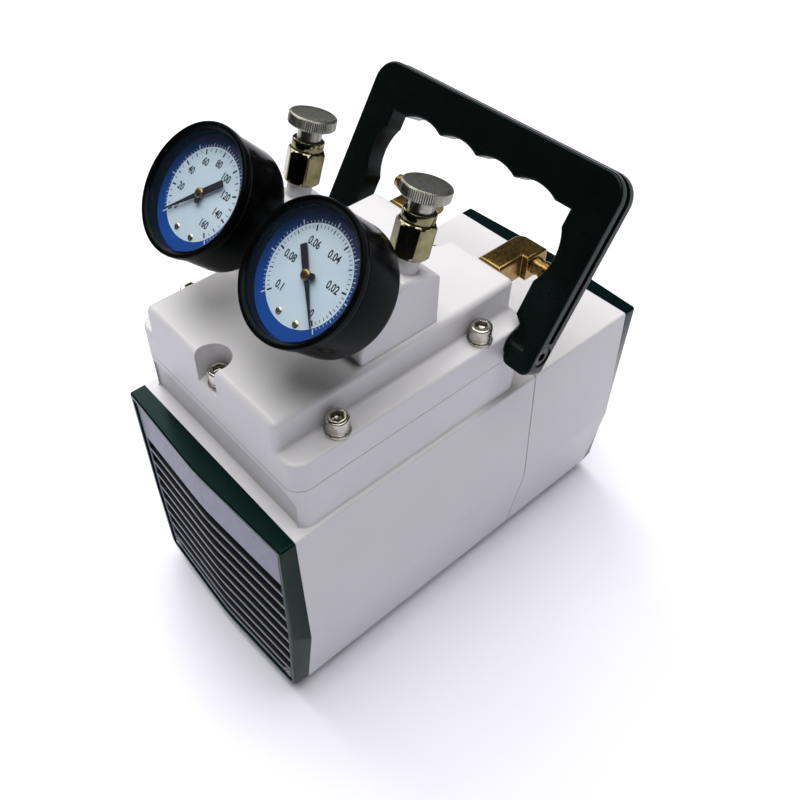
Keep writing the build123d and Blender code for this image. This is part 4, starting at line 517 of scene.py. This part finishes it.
def lamination_stack():
    """Stamped steel sheets stacked along the shaft, with thin dark lines between groups of sheets.

    A wave's bands repeat every TAU / 20 over its scale, which sets the lines 3.1 millimetres apart.
    """
    coat = Finish("lamination_stack").set(Metallic=0.9)
    wave = coat.tree.nodes.new("ShaderNodeTexWave")
    wave.wave_type = "BANDS"
    wave.bands_direction = "Y"
    wave.inputs["Scale"].default_value = 100.0
    wave.inputs["Distortion"].default_value = 0.2
    coat.join(coat.places, wave.inputs["Vector"])
    lines = coat.between(wave.outputs["Fac"], 0, 1, 0.1, 0.5)
    coat.colour(coat.blend(lines, (0.10, 0.10, 0.11), (0.34, 0.34, 0.36)))
    coat.shine(2, 3, 0.4, 0.6)
    return coat.relief(lines, 0.5, 0.1).material


def copper_winding():
    """Varnished copper wire wound in turns."""
    coat = Finish("varnished_copper").set(Metallic=0.9, Coat_Weight=0.6, Coat_Roughness=0.15)
    strands = coat.noise(0.6, 1, stretch=(1, 0.08, 1))
    coat.colour(coat.blend(coat.between(strands, 0, 1), (0.30, 0.09, 0.03), (0.78, 0.34, 0.14)))
    coat.shine(2, 3, 0.25, 0.45)
    return coat.relief(strands, 0.6, 0.2).material


def capacitor_shell():
    """Pale moulded shell."""
    coat = Finish("capacitor_shell").set(Specular_IOR_Level=0.5)
    coat.colour(coat.clouded(8, 3, (0.62, 0.62, 0.58), (0.74, 0.74, 0.70)))
    coat.shine(3, 3, 0.3, 0.45)
    return coat.relief(coat.noise(0.6, 2), 0.15, 0.06).material


def bush_nylon():
    """Smoke-black bearing nylon."""
    coat = Finish("bush_nylon").set(Specular_IOR_Level=0.4)
    coat.colour(coat.clouded(4, 3, (0.005, 0.007, 0.007), (0.010, 0.013, 0.012)))
    coat.shine(2, 3, 0.4, 0.55)
    return coat.relief(coat.noise(0.5, 2), 0.15, 0.05).material


def lens_plastic():
    """Clear gauge lens: nearly all let through, with a sharp surface shine."""
    coat = Finish("clear_lens").set(Alpha=0.05, Specular_IOR_Level=0.5, Coat_Weight=0.3, Coat_Roughness=0.01)
    coat.colour(coat.clouded(20, 2, (0.05, 0.09, 0.16), (0.08, 0.12, 0.20)))
    coat.shine(9, 2, 0.02, 0.05)
    coat.material.surface_render_method = "BLENDED"
    return coat.material


def dial_enamel(name, dark, light, low=0.35, high=0.5):
    """Printed dial enamel, slightly clouded."""
    coat = Finish(name).set(Specular_IOR_Level=0.4)
    coat.colour(coat.clouded(14, 3, dark, light))
    coat.shine(4, 3, low, high)
    return coat.relief(coat.noise(0.4, 2), 0.05, 0.02).material


def blue_with_painted_shade():
    """Blue dial print, bright blue at its foot, darkened to navy towards the top of the dial by painted
    shade where the bezel shades it.

    The mapping turns object coordinates by the gauges' tilt, so its Z runs square to the dials, Y up them.
    """
    coat = Finish("dial_blue_painted_shade").set(Specular_IOR_Level=0.4)
    upright = coat.tree.nodes.new("ShaderNodeMapping")
    upright.vector_type = "TEXTURE"
    upright.inputs["Location"].default_value = (0.0, *(GAUGE_SEATS["vacuum"].origin[1:] * MM))
    upright.inputs["Rotation"].default_value = (GAUGE_TILT, 0.0, 0.0)
    coat.join(coat.places, upright.inputs["Vector"])
    split = coat.tree.nodes.new("ShaderNodeSeparateXYZ")
    coat.join(upright.outputs[0], split.inputs[0])
    # one at the foot of the dial falling to nought at its top: the navy left above is painted shade
    height = coat.between(split.outputs["Y"], 1.0, 0.0, -22 * MM, 18 * MM)
    # navy: the painted shade at the top of the dial
    deep = coat.clouded(9, 3, (0.0015, 0.012, 0.055), (0.002, 0.017, 0.08))
    coat.colour(coat.blend(height, deep, (0.006, 0.075, 0.40)))
    coat.shine(4, 3, 0.4, 0.5)
    return coat.relief(coat.noise(0.4, 2), 0.01, 0.01).material


def pale_floor():
    """A plain pale floor."""
    coat = Finish("studio_floor").set(Specular_IOR_Level=0.05)
    coat.colour(coat.clouded(160, 2, (0.83, 0.83, 0.93), (0.85, 0.85, 0.95)))
    coat.shine(40, 2, 0.8, 0.95)
    return coat.material


WHITE = painted_casting()
GREEN = pressed_green()
STEEL = bright_steel()
NICKEL = nickel_plate()
KNOB = satin_nickel()
BRASS = yellow_brass()
ENAMEL = gauge_enamel()
SCREW_BRASS = machined("pale_brass_screw", (0.50, 0.46, 0.30), (0.72, 0.67, 0.48), 0.2, 0.3, 0.3)
HANDLE = handle_plastic()
MOULDING = moulded_black()
LENS = lens_plastic()
DIAL_WHITE = dial_enamel("dial_white", (0.50, 0.64, 0.74), (0.58, 0.71, 0.80))
DIAL_BLUE = blue_with_painted_shade()
DIAL_INK = dial_enamel("dial_black_ink", (0.008, 0.008, 0.010), (0.014, 0.014, 0.016))
DIAL_LIGHT = dial_enamel("dial_pale_ink", (0.55, 0.70, 0.85), (0.66, 0.80, 0.92))
POINTER = dial_enamel("pointer_black_paint", (0.006, 0.006, 0.007), (0.012, 0.012, 0.012))

SLOT_FINISHES = {
    "white_paint": WHITE,
    "green_frame": GREEN,
    "grey_panel": moulded_grey(),
    "bright_steel": STEEL,
    "black_rubber": foot_rubber(),
    "bare_aluminium": machined("machined_aluminium", (0.58, 0.58, 0.59), (0.76, 0.76, 0.77)),
    "gasket": rubber_sheet("fibre_gasket", (0.07, 0.07, 0.07), (0.14, 0.14, 0.13)),
    "valve_rubber": rubber_sheet("valve_rubber", (0.10, 0.05, 0.03), (0.18, 0.10, 0.06)),
    "diaphragm_rubber": rubber_sheet("diaphragm_rubber", (0.03, 0.03, 0.03), (0.06, 0.06, 0.055)),
    "bearing_steel": machined("ground_bearing_steel", (0.45, 0.45, 0.47), (0.66, 0.66, 0.68),
                              0.12, 0.25, 0.2),
    "cast_steel": machined("machined_cast_iron", (0.12, 0.12, 0.12), (0.26, 0.26, 0.27), 0.35, 0.55, 0.6),
    "black_plastic": MOULDING,
    "lamination_steel": lamination_stack(),
    "copper_wire": copper_winding(),
    "capacitor_shell": capacitor_shell(),
    "black_enamel": ENAMEL,
    "clear_glass": LENS,
    "dial_face": DIAL_WHITE,
    "pointer_black": POINTER,
    "dark_brass": dark_brass(),
    "yellow_brass": BRASS,
    "bright_nickel": NICKEL,
    "bush_nylon": bush_nylon(),
    "black_screw": machined("blackened_steel", (0.015, 0.015, 0.016), (0.04, 0.04, 0.04), 0.25, 0.4, 0.3),
}


def fit(piece, finish, slot, body, *nodes):
    """Gives a piece its finish, the body it rides on and the nodes it stands for; the slot argument is not
    used.
    """
    piece.data.materials.clear()
    piece.data.materials.append(finish)
    if nodes:
        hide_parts(*nodes)
    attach(piece, body)


for solid in frame["nodes"].values():
    for place in solid.material_slots:
        place.material = SLOT_FINISHES[place.material.name]


# ------------------------------------------------------------------ castings, frames and mouldings

# node, body, slot, and the angle in degrees past which an edge stays sharp
REFINED_NODES = (
    ("pump_housing", "casing", "white_paint", 32),
    ("rear_casing", "casing", "white_paint", 32),
    ("head_cover", "casing", "white_paint", 32),
    ("manifold_block", "casing", "white_paint", 32),
    ("front_frame", "casing", "green_frame", 32),
    ("rear_frame", "casing", "green_frame", 32),
    ("front_grille", "casing", "grey_panel", 32),
    ("rear_grille", "casing", "grey_panel", 32),
    ("rubber_feet", "casing", "black_rubber", 40),
    ("gauge_sockets", "casing", "dark_brass", 30),
    ("inlet_elbow", "casing", "yellow_brass", 32),
    ("outlet_elbow", "casing", "yellow_brass", 32),
    ("switch_housing", "casing", "black_plastic", 32),
    ("switch_rocker", "rocker", "black_plastic", 32),
    ("cable_gland", "casing", "black_plastic", 32),
    ("gland_nuts", "casing", "black_plastic", 32),
    ("handle", "handle", "black_plastic", 32),
    ("handle_pivot_screws", "casing", "black_screw", 32),
)
for node, body, slot, shading in REFINED_NODES:
    skin = refined(node, node + "_skin", shading)
    if slot == "grey_panel":
        mark_inset(skin)
    fit(skin, HANDLE if node == "handle" else SLOT_FINISHES[slot], slot, body, node)


# ------------------------------------------------------------------ joint line under the head cover

def joint_line_arrays(half_width, front, rear, corner, height, quarter=12):
    """A thin square bead carried round a rectangle with rounded corners.

    The path is four quarter circles of the corner's radius about the rectangle's inner corners, and the
    bead's four edges are the path set in or out along its outward direction, at two heights.
    """
    middle = (front + rear) / 2
    reach = np.array((half_width - corner, (rear - front) / 2 - corner))
    centres = reach * ((1, 1), (-1, 1), (-1, -1), (1, -1))
    angle = (np.arange(4)[:, None] * TAU / 4 + np.linspace(0, TAU / 4, quarter)).ravel()
    facing = np.stack([np.cos(angle), np.sin(angle)], -1)
    path = np.repeat(centres, quarter, 0) + facing * corner + (0.0, middle)
    edges = ((-0.4, -0.10), (0.035, -0.10), (0.035, 0.08), (-0.4, 0.08))
    loops = [np.c_[path + facing * out, np.full(len(path), height + rise)] for out, rise in edges]
    count = len(path)
    return np.concatenate(loops), quads_between(np.arange(4) * count, count, 4 * count)


COVER_CORNER = 8.0
points, faces = joint_line_arrays(COVER_HIGH[0], COVER_LOW[1], COVER_HIGH[1], COVER_CORNER, COVER_LOW[2])
bead = outward(mesh_from("head_joint_line", points * MM, faces, 30))
fit(bead, SLOT_FINISHES["gasket"], "gasket", "casing")


# ------------------------------------------------------------------ head screws and washers

SCREW_SHELF = COVER_LOW[2] + 16.0
SIDE_SCREW_X = COVER_HIGH[0] - 5.7
SIDE_SCREW_Y = 40.05
END_SCREW_Y = (COVER_HIGH[1] - COVER_LOW[1]) / 2 - 6.4
COVER_MIDDLE = (COVER_LOW[1] + COVER_HIGH[1]) / 2
SCREW_PLACES = [(side * SIDE_SCREW_X, end * SIDE_SCREW_Y) for side in (-1, 1) for end in (-1, 1)]
SCREW_PLACES += [(0.0, end * END_SCREW_Y) for end in (-1, 1)]
HEAD_SEATS = [upright_seat(x, COVER_MIDDLE + y, SCREW_SHELF) for x, y in SCREW_PLACES]
SCREW_HEAD_RADIUS = 5.0
SCREW_FLUTES = 48
SOCKET_FLAT = 2.5


def head_screw_rows():
    """Socket head: a finely knurled side, a rounded rim and a hexagonal socket.

    The side's radius is the head's less shallow flutes, half of one plus their cosine deep, and the
    socket's rows are a hexagon's radius.
    """
    turns = 192
    angle = np.arange(turns) * TAU / turns
    knurl = SCREW_HEAD_RADIUS - 0.10 * (0.5 + 0.5 * np.cos(SCREW_FLUTES * angle))
    socket = hexagon(SOCKET_FLAT, turns)
    side = [(0.0, 2.5), (2.9, 2.5), (4.85, 2.5), (knurl, 2.75), (knurl, 7.2), (4.98, 7.5)]
    rim = [(4.93, 7.85), (4.75, 8.2), (4.45, 8.42), (4.1, 8.5), (3.25, 8.5)]
    well = [(socket + 0.25, 8.46), (socket, 8.2), (socket, 5.6), (socket * 0.9, 5.5), (0.0, 5.1)]
    return side + rim + well


def spring_washer_arrays():
    """A split ring: a square section carried once round less a gap, its ends a little apart in height."""
    stations = 72
    t = np.linspace(0, 1, stations)
    angle = 0.06 + t * (TAU - 0.12)
    rise = 0.12 * (t - 0.5)
    inside = [(3.15, 1.06), (3.15, 2.44), (3.3, 2.46)]
    outside = [(4.75, 2.46), (4.9, 2.38), (4.9, 1.12), (4.75, 1.04)]
    radius, height = np.array(inside + outside).T
    points = np.stack([radius * np.cos(angle)[:, None], radius * np.sin(angle)[:, None],
                       np.clip(height + rise[:, None], 1.0, 2.5)], -1)
    count = len(radius)
    last = (stations - 1) * count
    faces = quads_between(np.arange(stations - 1) * count, count, stations * count)
    faces += [list(range(count)), list(range(last, last + count))]
    return points.reshape(-1, 3), faces


screws = turned("head_screw_heads", HEAD_SEATS, head_screw_rows(), 192, 30)
fit(screws, STEEL, "bright_steel", "casing", "head_screws")

flat_rows = rounded([(3.2, 0.0), (5.6, 0.0), (5.6, 1.0), (3.2, 1.0), (3.2, 0.0)], (0.25, 0.3, 0.1), 4)[:-1]
flat_washers = turned("head_flat_washers", HEAD_SEATS, flat_rows, 96, 30)
fit(flat_washers, STEEL, "bright_steel", "casing", "head_washers")

spring_points, spring_faces = spring_washer_arrays()
spring_washers = repeated("head_spring_washers", HEAD_SEATS, spring_points, spring_faces, 30)
fit(spring_washers, STEEL, "bright_steel", "casing")


# ------------------------------------------------------------------ bleed valves

KNOB_FLUTES = 72
NUT_FLAT = 7.5
NUT_CORNER = 8.35


def knurled_knob_rows(turns=288):
    """A flat knob on a stem, its rim cut by flutes that fade out into two chamfers.

    A rim row's radius is its own less the flutes' depth there times half of one plus their cosine.
    """
    angle = np.arange(turns) * TAU / turns
    flute = 0.5 + 0.5 * np.cos(KNOB_FLUTES * angle)
    stem = [(0.0, 24.5), (5.25, 24.5), (5.25, 30.6), (5.6, 31.0), (9.3, 31.0)]
    heights = (31.15, 31.7, 33.6, 35.5, 36.0)
    radii = (9.75, 10.25, 10.28, 10.25, 9.8)
    depths = (0.05, 0.26, 0.28, 0.26, 0.05)
    rim = [(radius - depth * flute, height) for height, radius, depth in zip(heights, radii, depths)]
    top = [(9.45, 36.16), (9.1, 36.2), (8.7, 36.18), (4.0, 36.12), (0.0, 36.12)]
    return stem + rim + top


def valve_body_rows(turns=192):
    """A hexagon with coned ends, then a stepped collar with a thin groove.

    The hexagon's radius is the least of the flat-sided radius, its softened corners' and a cone's, and the
    cone cuts the corners at both ends.
    """
    flats = np.minimum(hexagon(NUT_FLAT, turns), NUT_CORNER)
    heights = (6.65, 7.1, 7.8, 8.6, 13.9, 19.4, 20.1, 20.8, 21.2)
    cones = (7.25, 7.75, 8.4, 9.2, 9.2, 9.2, 8.4, 7.75, 7.3)
    nut = [(np.minimum(flats, cone), height) for height, cone in zip(heights, cones)]
    collar = [(6.2, 21.25), (6.15, 21.7), (6.9, 21.9), (7.0, 22.1), (7.0, 24.9), (6.85, 25.3), (6.5, 25.5)]
    bore = [(5.4, 25.5), (5.32, 25.3), (5.32, 24.0), (5.3, 6.62)]
    return [(5.7, 6.62)] + nut + collar + bore


for kind, seat in VALVE_SEATS.items():
    body = turned(kind + "_valve_hexagon", [seat], valve_body_rows(), 192, 28)
    fit(body, NICKEL, "bright_nickel", "casing", kind + "_valve_body")
    knob = turned(kind + "_knurled_knob", [seat], knurled_knob_rows(), 288, 28)
    fit(knob, KNOB, "bright_nickel", kind + "_knob", kind + "_valve_knob")


# ------------------------------------------------------------------ gauges

GAUGE_CASE = rounded(
    [(6.2, -26.0), (27.0, -26.0), (27.0, -4.9), (26.35, -4.6), (26.35, -4.1), (27.8, -4.0), (27.8, 0.0),
     (26.1, 0.0), (24.7, -1.15), (24.7, -6.2), (25.1, -6.3), (25.1, -24.2), (6.2, -24.2), (6.2, -26.0)],
    (3.0, 0.3, 0.1, 0.1, 0.9, 1.9, 0.9, 0.2, 0.1, 0.1, 0.8, 0.2), 6)[:-1]
LENS_FORM = rounded([(0.0, -3.0), (24.65, -3.0), (24.65, -1.2), (0.0, -1.0)], (0.2, 0.5), 4)
DIAL_FORM = [(1.2, -6.2), (24.65, -6.2), (25.0, -6.3), (25.0, -7.1), (1.2, -7.2)]
HUB_FORM = [(0.0, -3.55), (0.5, -3.55), (1.2, -3.62), (1.75, -3.78), (2.05, -4.0), (2.2, -4.3), (2.2, -4.6),
            (0.0, -4.6)]
DIAL_SCREW_FORM = [(0.0, -5.55), (0.55, -5.58), (1.05, -5.70), (1.35, -5.88), (1.5, -6.1), (1.4, -6.2),
                   (0.0, -6.2)]
ADJUSTER_FORM = [(0.0, -5.0), (1.35, -5.0), (1.35, -4.35), (0.0, -4.35)]
ADJUSTER_REACH = 2.9
ADJUSTER_ANGLE = 1.05
DIAL_SCREW_PLACES = ((-3.4, -16.3), (6.4, -16.4))

DIAL_TOP = -6.2
INK = 0.04
CENTRE_RISE = 0.02
CENTRE_RADIUS = 19.2
FIGURE_HEIGHT = 3.1
FIGURE_REACH = 14.6
REACH_PER_LETTER = 0.62
TYPE_SIZE = 1.42
TYPE_WEIGHT = 0.036
TYPE_WIDTH = 0.80
DASH_END = 18.7
# where a long, a middle and a short dash begins, and how wide it is
DASHES = ((16.5, 0.72), (17.0, 0.44), (17.5, 0.28))
OUTER_START = 19.7
OUTER_ENDS = (21.6, 21.0, 20.5)
OUTER_WIDTHS = (0.40, 0.20)
OUTER_RING = (19.15, 19.45)
POINTER_LEVELS = (-5.1, -4.62)


def bar_arrays(angles, inner, outer, widths, base, thick):
    """Raised dashes on a dial: a box from inner to outer radius at each angle, as wide as given."""
    angles, inner, outer, widths = np.broadcast_arrays(angles, inner, outer, widths)
    along = np.stack([inner, outer, outer, inner], -1)
    aside = np.stack([-widths, -widths, widths, widths], -1) / 2
    cos, sin = np.cos(angles)[:, None], np.sin(angles)[:, None]
    flat = np.stack([along * cos - aside * sin, along * sin + aside * cos], -1)
    levels = [np.dstack([flat, np.full(flat.shape[:2], level)]) for level in (base, base + thick)]
    points = np.concatenate(levels, 1).reshape(-1, 3)
    box = np.array([(3, 2, 1, 0), (4, 5, 6, 7), (0, 1, 5, 4), (1, 2, 6, 5), (2, 3, 7, 6), (3, 0, 4, 7)])
    faces = (np.arange(len(angles))[:, None, None] * 8 + box).reshape(-1, 4).tolist()
    return points, faces


def ring_arrays(inner, outer, base, thick, turns=144):
    """A flat printed ring."""
    return turned_arrays([(inner, base), (outer, base), (outer, base + thick), (inner, base + thick)], turns)


def numeral_arrays(text, centre, height, base, thick):
    """Figures of a dial as solid type, narrowed and centred at a place on the dial."""
    curve = bpy.data.curves.new("numeral", "FONT")
    curve.body = text
    curve.size = height * TYPE_SIZE
    curve.offset = height * TYPE_WEIGHT
    curve.align_x = "CENTER"
    curve.align_y = "CENTER"
    curve.extrude = thick / 2
    curve.resolution_u = 3
    holder = bpy.data.objects.new("numeral", curve)
    bpy.context.scene.collection.objects.link(holder)
    bpy.context.view_layer.update()
    solid = bpy.data.meshes.new_from_object(holder.evaluated_get(bpy.context.evaluated_depsgraph_get()))
    points = np.zeros(len(solid.vertices) * 3)
    solid.vertices.foreach_get("co", points)
    points = points.reshape(-1, 3)
    points[:, 0] = points[:, 0] * TYPE_WIDTH + centre[0]
    points[:, 1] += centre[1]
    points[:, 2] += base + thick / 2
    faces = [list(face.vertices) for face in solid.polygons]
    bpy.data.objects.remove(holder)
    bpy.data.curves.remove(curve)
    bpy.data.meshes.remove(solid)
    return points, faces


def dial_marks(start, sweep, numerals, fine):
    """The black print of a dial: long, middle and short dashes inside the white disc, and its figures."""
    steps = fine * (len(numerals) - 1)
    angles = np.radians(start + sweep * np.arange(steps + 1) / steps)
    place = np.arange(steps + 1) % fine
    middle = (place == fine // 2) & (fine % 2 == 0)
    inner, width = np.array(DASHES)[np.where(place == 0, 0, np.where(middle, 1, 2))].T
    parts = [bar_arrays(angles, inner, DASH_END, width, DIAL_TOP, INK)]
    for index, text in enumerate(numerals):
        angle = math.radians(start + sweep * index / (len(numerals) - 1))
        reach = FIGURE_REACH - REACH_PER_LETTER * len(text)
        centre = (reach * math.cos(angle), reach * math.sin(angle))
        parts.append(numeral_arrays(text, centre, FIGURE_HEIGHT, DIAL_TOP, INK))
    return gathered(parts)


def outer_scale(start, sweep, steps):
    """The pale print of the blue ring: a second scale of fine dashes over the same sweep."""
    place = np.arange(steps + 1)
    angles = np.radians(start + sweep * place / steps)
    tenth = place % 10 == 0
    outer = np.select([tenth, place % 5 == 0], OUTER_ENDS[:2], OUTER_ENDS[2])
    width = np.where(tenth, *OUTER_WIDTHS)
    return gathered([bar_arrays(angles, OUTER_START, outer, width, DIAL_TOP, INK),
                     ring_arrays(*OUTER_RING, DIAL_TOP, INK)])


def pointer_arrays(angle):
    """A flat pointer: its half width runs straight from a broad tail through the hub to a fine tip."""
    along = np.array([-12.0, -11.6, -2.0, 0.0, 2.0, 12.0, 19.7, 20.0])
    half = np.array([1.25, 1.5, 1.35, 1.2, 1.0, 0.5, 0.18, 0.02])
    flat = np.concatenate([np.stack([along, half], -1), np.stack([along, -half], -1)[::-1]])
    turn = np.array([[math.cos(angle), math.sin(angle)], [-math.sin(angle), math.cos(angle)]])
    flat = flat @ turn
    count = len(flat)
    points = np.concatenate([np.c_[flat, np.full(count, level)] for level in POINTER_LEVELS])
    pairs = np.arange(len(along) - 1)
    top = np.stack([pairs, pairs + 1, count - 2 - pairs, count - 1 - pairs], -1)
    faces = (top + count).tolist() + top[:, ::-1].tolist() + quads_between([0], count, 2 * count)
    return points, faces


def dial_parts(kind, seat, start, sweep, numerals, fine):
    """A gauge's dial: the plate, its pale centre, the figures and the outer scale."""
    plate = turned(kind + "_dial_plate", [seat], DIAL_FORM, 144, 30)
    fit(plate, DIAL_BLUE, "dial_face", "casing", kind + "_gauge_dial")
    low, high = DIAL_TOP - CENTRE_RISE, DIAL_TOP + CENTRE_RISE
    centre_form = [(1.2, low), (CENTRE_RADIUS, low), (CENTRE_RADIUS, high), (1.2, high)]
    centre = turned(kind + "_dial_centre", [seat], centre_form, 144, 30)
    fit(centre, DIAL_WHITE, "dial_face", "casing")
    points, faces = dial_marks(start, sweep, numerals, fine)
    fit(mesh_from(kind + "_dial_figures", seat.put(points), faces), DIAL_INK, "pointer_black", "casing")
    points, faces = outer_scale(start, sweep, 60)
    fit(mesh_from(kind + "_dial_outer_scale", seat.put(points), faces), DIAL_LIGHT, "dial_face", "casing")


def pointer_parts(kind, seat, start):
    """A gauge's hand at zero: the pointer, its hub and the small adjusting boss beside the hub."""
    rider = kind + "_pointer"
    zero = math.radians(start)
    points, faces = pointer_arrays(zero)
    hand = outward(mesh_from(kind + "_pointer", seat.put(points), faces))
    fit(hand, POINTER, "pointer_black", rider, kind + "_gauge_pointer")
    hub = turned(kind + "_pointer_hub", [seat], HUB_FORM, 48, 30)
    fit(hub, BRASS, "yellow_brass", rider)
    turn = zero + ADJUSTER_ANGLE
    points, faces = turned_arrays(ADJUSTER_FORM, 40)
    points = points + np.array([ADJUSTER_REACH * math.cos(turn), ADJUSTER_REACH * math.sin(turn), 0.0])
    boss = outward(mesh_from(kind + "_pointer_adjuster", seat.put(points), faces))
    fit(boss, POINTER, "pointer_black", rider)


def gauge(kind, start, sweep, numerals, fine):
    """One gauge: its case, then the dial with its print, then the pointer."""
    seat = GAUGE_SEATS[kind]
    shell = turned(kind + "_gauge_shell", [seat], GAUGE_CASE, 192, 30)
    fit(shell, ENAMEL, "black_enamel", "casing", kind + "_gauge_case")
    dial_parts(kind, seat, start, sweep, numerals, fine)
    pointer_parts(kind, seat, start)


VACUUM_FIGURES = ("0", "0.02", "0.04", "0.06", "0.08", "0.1")
PRESSURE_FIGURES = ("0", "20", "40", "60", "80", "100", "120", "140", "160")
gauge("vacuum", -45.0, 270.0, VACUUM_FIGURES, 10)
gauge("pressure", -135.0, -270.0, PRESSURE_FIGURES, 4)

lenses = turned("gauge_lens_discs", list(GAUGE_SEATS.values()), LENS_FORM, 144, 40)
fit(lenses, LENS, "clear_glass", "casing", "gauge_lenses")

screw_points, screw_faces = turned_arrays(DIAL_SCREW_FORM, 36)
screw_sets = [(seat.put(screw_points + np.array([aside, along, 0.0])), screw_faces)
              for seat in GAUGE_SEATS.values() for aside, along in DIAL_SCREW_PLACES]
dial_screws = outward(mesh_from("dial_screw_heads", *gathered(screw_sets)))
fit(dial_screws, SCREW_BRASS, "yellow_brass", "casing", "dial_screws")


# ------------------------------------------------------------------ floor, light and camera

FLOOR_REACH = 6.0
FLOOR_DROP = 0.0002
LAMP_COLOUR = (1.0, 0.985, 0.95)
CAMERA_PLACE = (0.2277747, -0.2147842, 0.4312200)
CAMERA_TURN = (43.595091, 0.652496, 49.741029)
CAMERA_LENS = 38.71661
CAMERA_SHIFT = (0.058281, -0.011669)


def stage_floor():
    """A wide flat sheet just under the feet."""
    corners = np.array([(-1, -1), (1, -1), (1, 1), (-1, 1)]) * FLOOR_REACH
    points = np.column_stack([corners, np.full(4, -FLOOR_DROP)])
    floor = mesh_from("studio_floor", points, [[0, 1, 2, 3]])
    floor.data.materials.append(pale_floor())


def hung(name, data):
    """A lamp or camera put into the scene, ready to be placed."""
    holder = bpy.data.objects.new(name, data)
    bpy.context.scene.collection.objects.link(holder)
    return holder


def ceiling_light():
    """Wide soft light from straight above, as from a whole bright ceiling."""
    lamp = bpy.data.lights.new("ceiling_diffuser", "SUN")
    lamp.energy = 3.3
    lamp.angle = math.radians(58.0)
    lamp.color = LAMP_COLOUR
    hung("ceiling_diffuser", lamp).rotation_euler = (math.radians(-2.0), 0.0, 0.0)


def left_light():
    """A square soft box at the left, turned to the middle of the casing."""
    lamp = bpy.data.lights.new("left_box", "AREA")
    lamp.size = 1.3
    lamp.energy = 18
    lamp.color = LAMP_COLOUR
    holder = hung("left_box", lamp)
    holder.location = (-1.15, 0.15, 1.3)
    holder.rotation_euler = (Vector((0, 0, 0.1)) - holder.location).to_track_quat("-Z", "Y").to_euler()


def studio_air():
    """A bright wall as the camera sees it, and only a faint even light on the pump."""
    world = bpy.data.worlds.new("studio_air")
    world.use_nodes = True
    nodes, links = world.node_tree.nodes, world.node_tree.links
    faint = nodes["Background"]
    faint.inputs["Color"].default_value = (0.93, 0.95, 1.0, 1)
    faint.inputs["Strength"].default_value = 0.05
    wall = nodes.new("ShaderNodeBackground")
    wall.inputs["Color"].default_value = (0.97, 0.97, 1.0, 1)
    wall.inputs["Strength"].default_value = 1.0
    either = nodes.new("ShaderNodeMixShader")
    links.new(nodes.new("ShaderNodeLightPath").outputs["Is Camera Ray"], either.inputs[0])
    links.new(faint.outputs[0], either.inputs[1])
    links.new(wall.outputs[0], either.inputs[2])
    links.new(either.outputs[0], nodes["World Output"].inputs["Surface"])
    bpy.context.scene.world = world
    bpy.context.scene.view_settings.view_transform = "Standard"


def place_camera():
    """The camera, above the front of the head and looking back along the casing."""
    data = bpy.data.cameras.new("camera")
    data.lens = CAMERA_LENS
    data.sensor_width = 36.0
    data.shift_x, data.shift_y = CAMERA_SHIFT
    data.clip_start = 0.01
    camera = hung("camera", data)
    camera.location = CAMERA_PLACE
    camera.rotation_euler = np.radians(CAMERA_TURN)
    bpy.context.scene.camera = camera


stage_floor()
ceiling_light()
left_light()
studio_air()
place_camera()
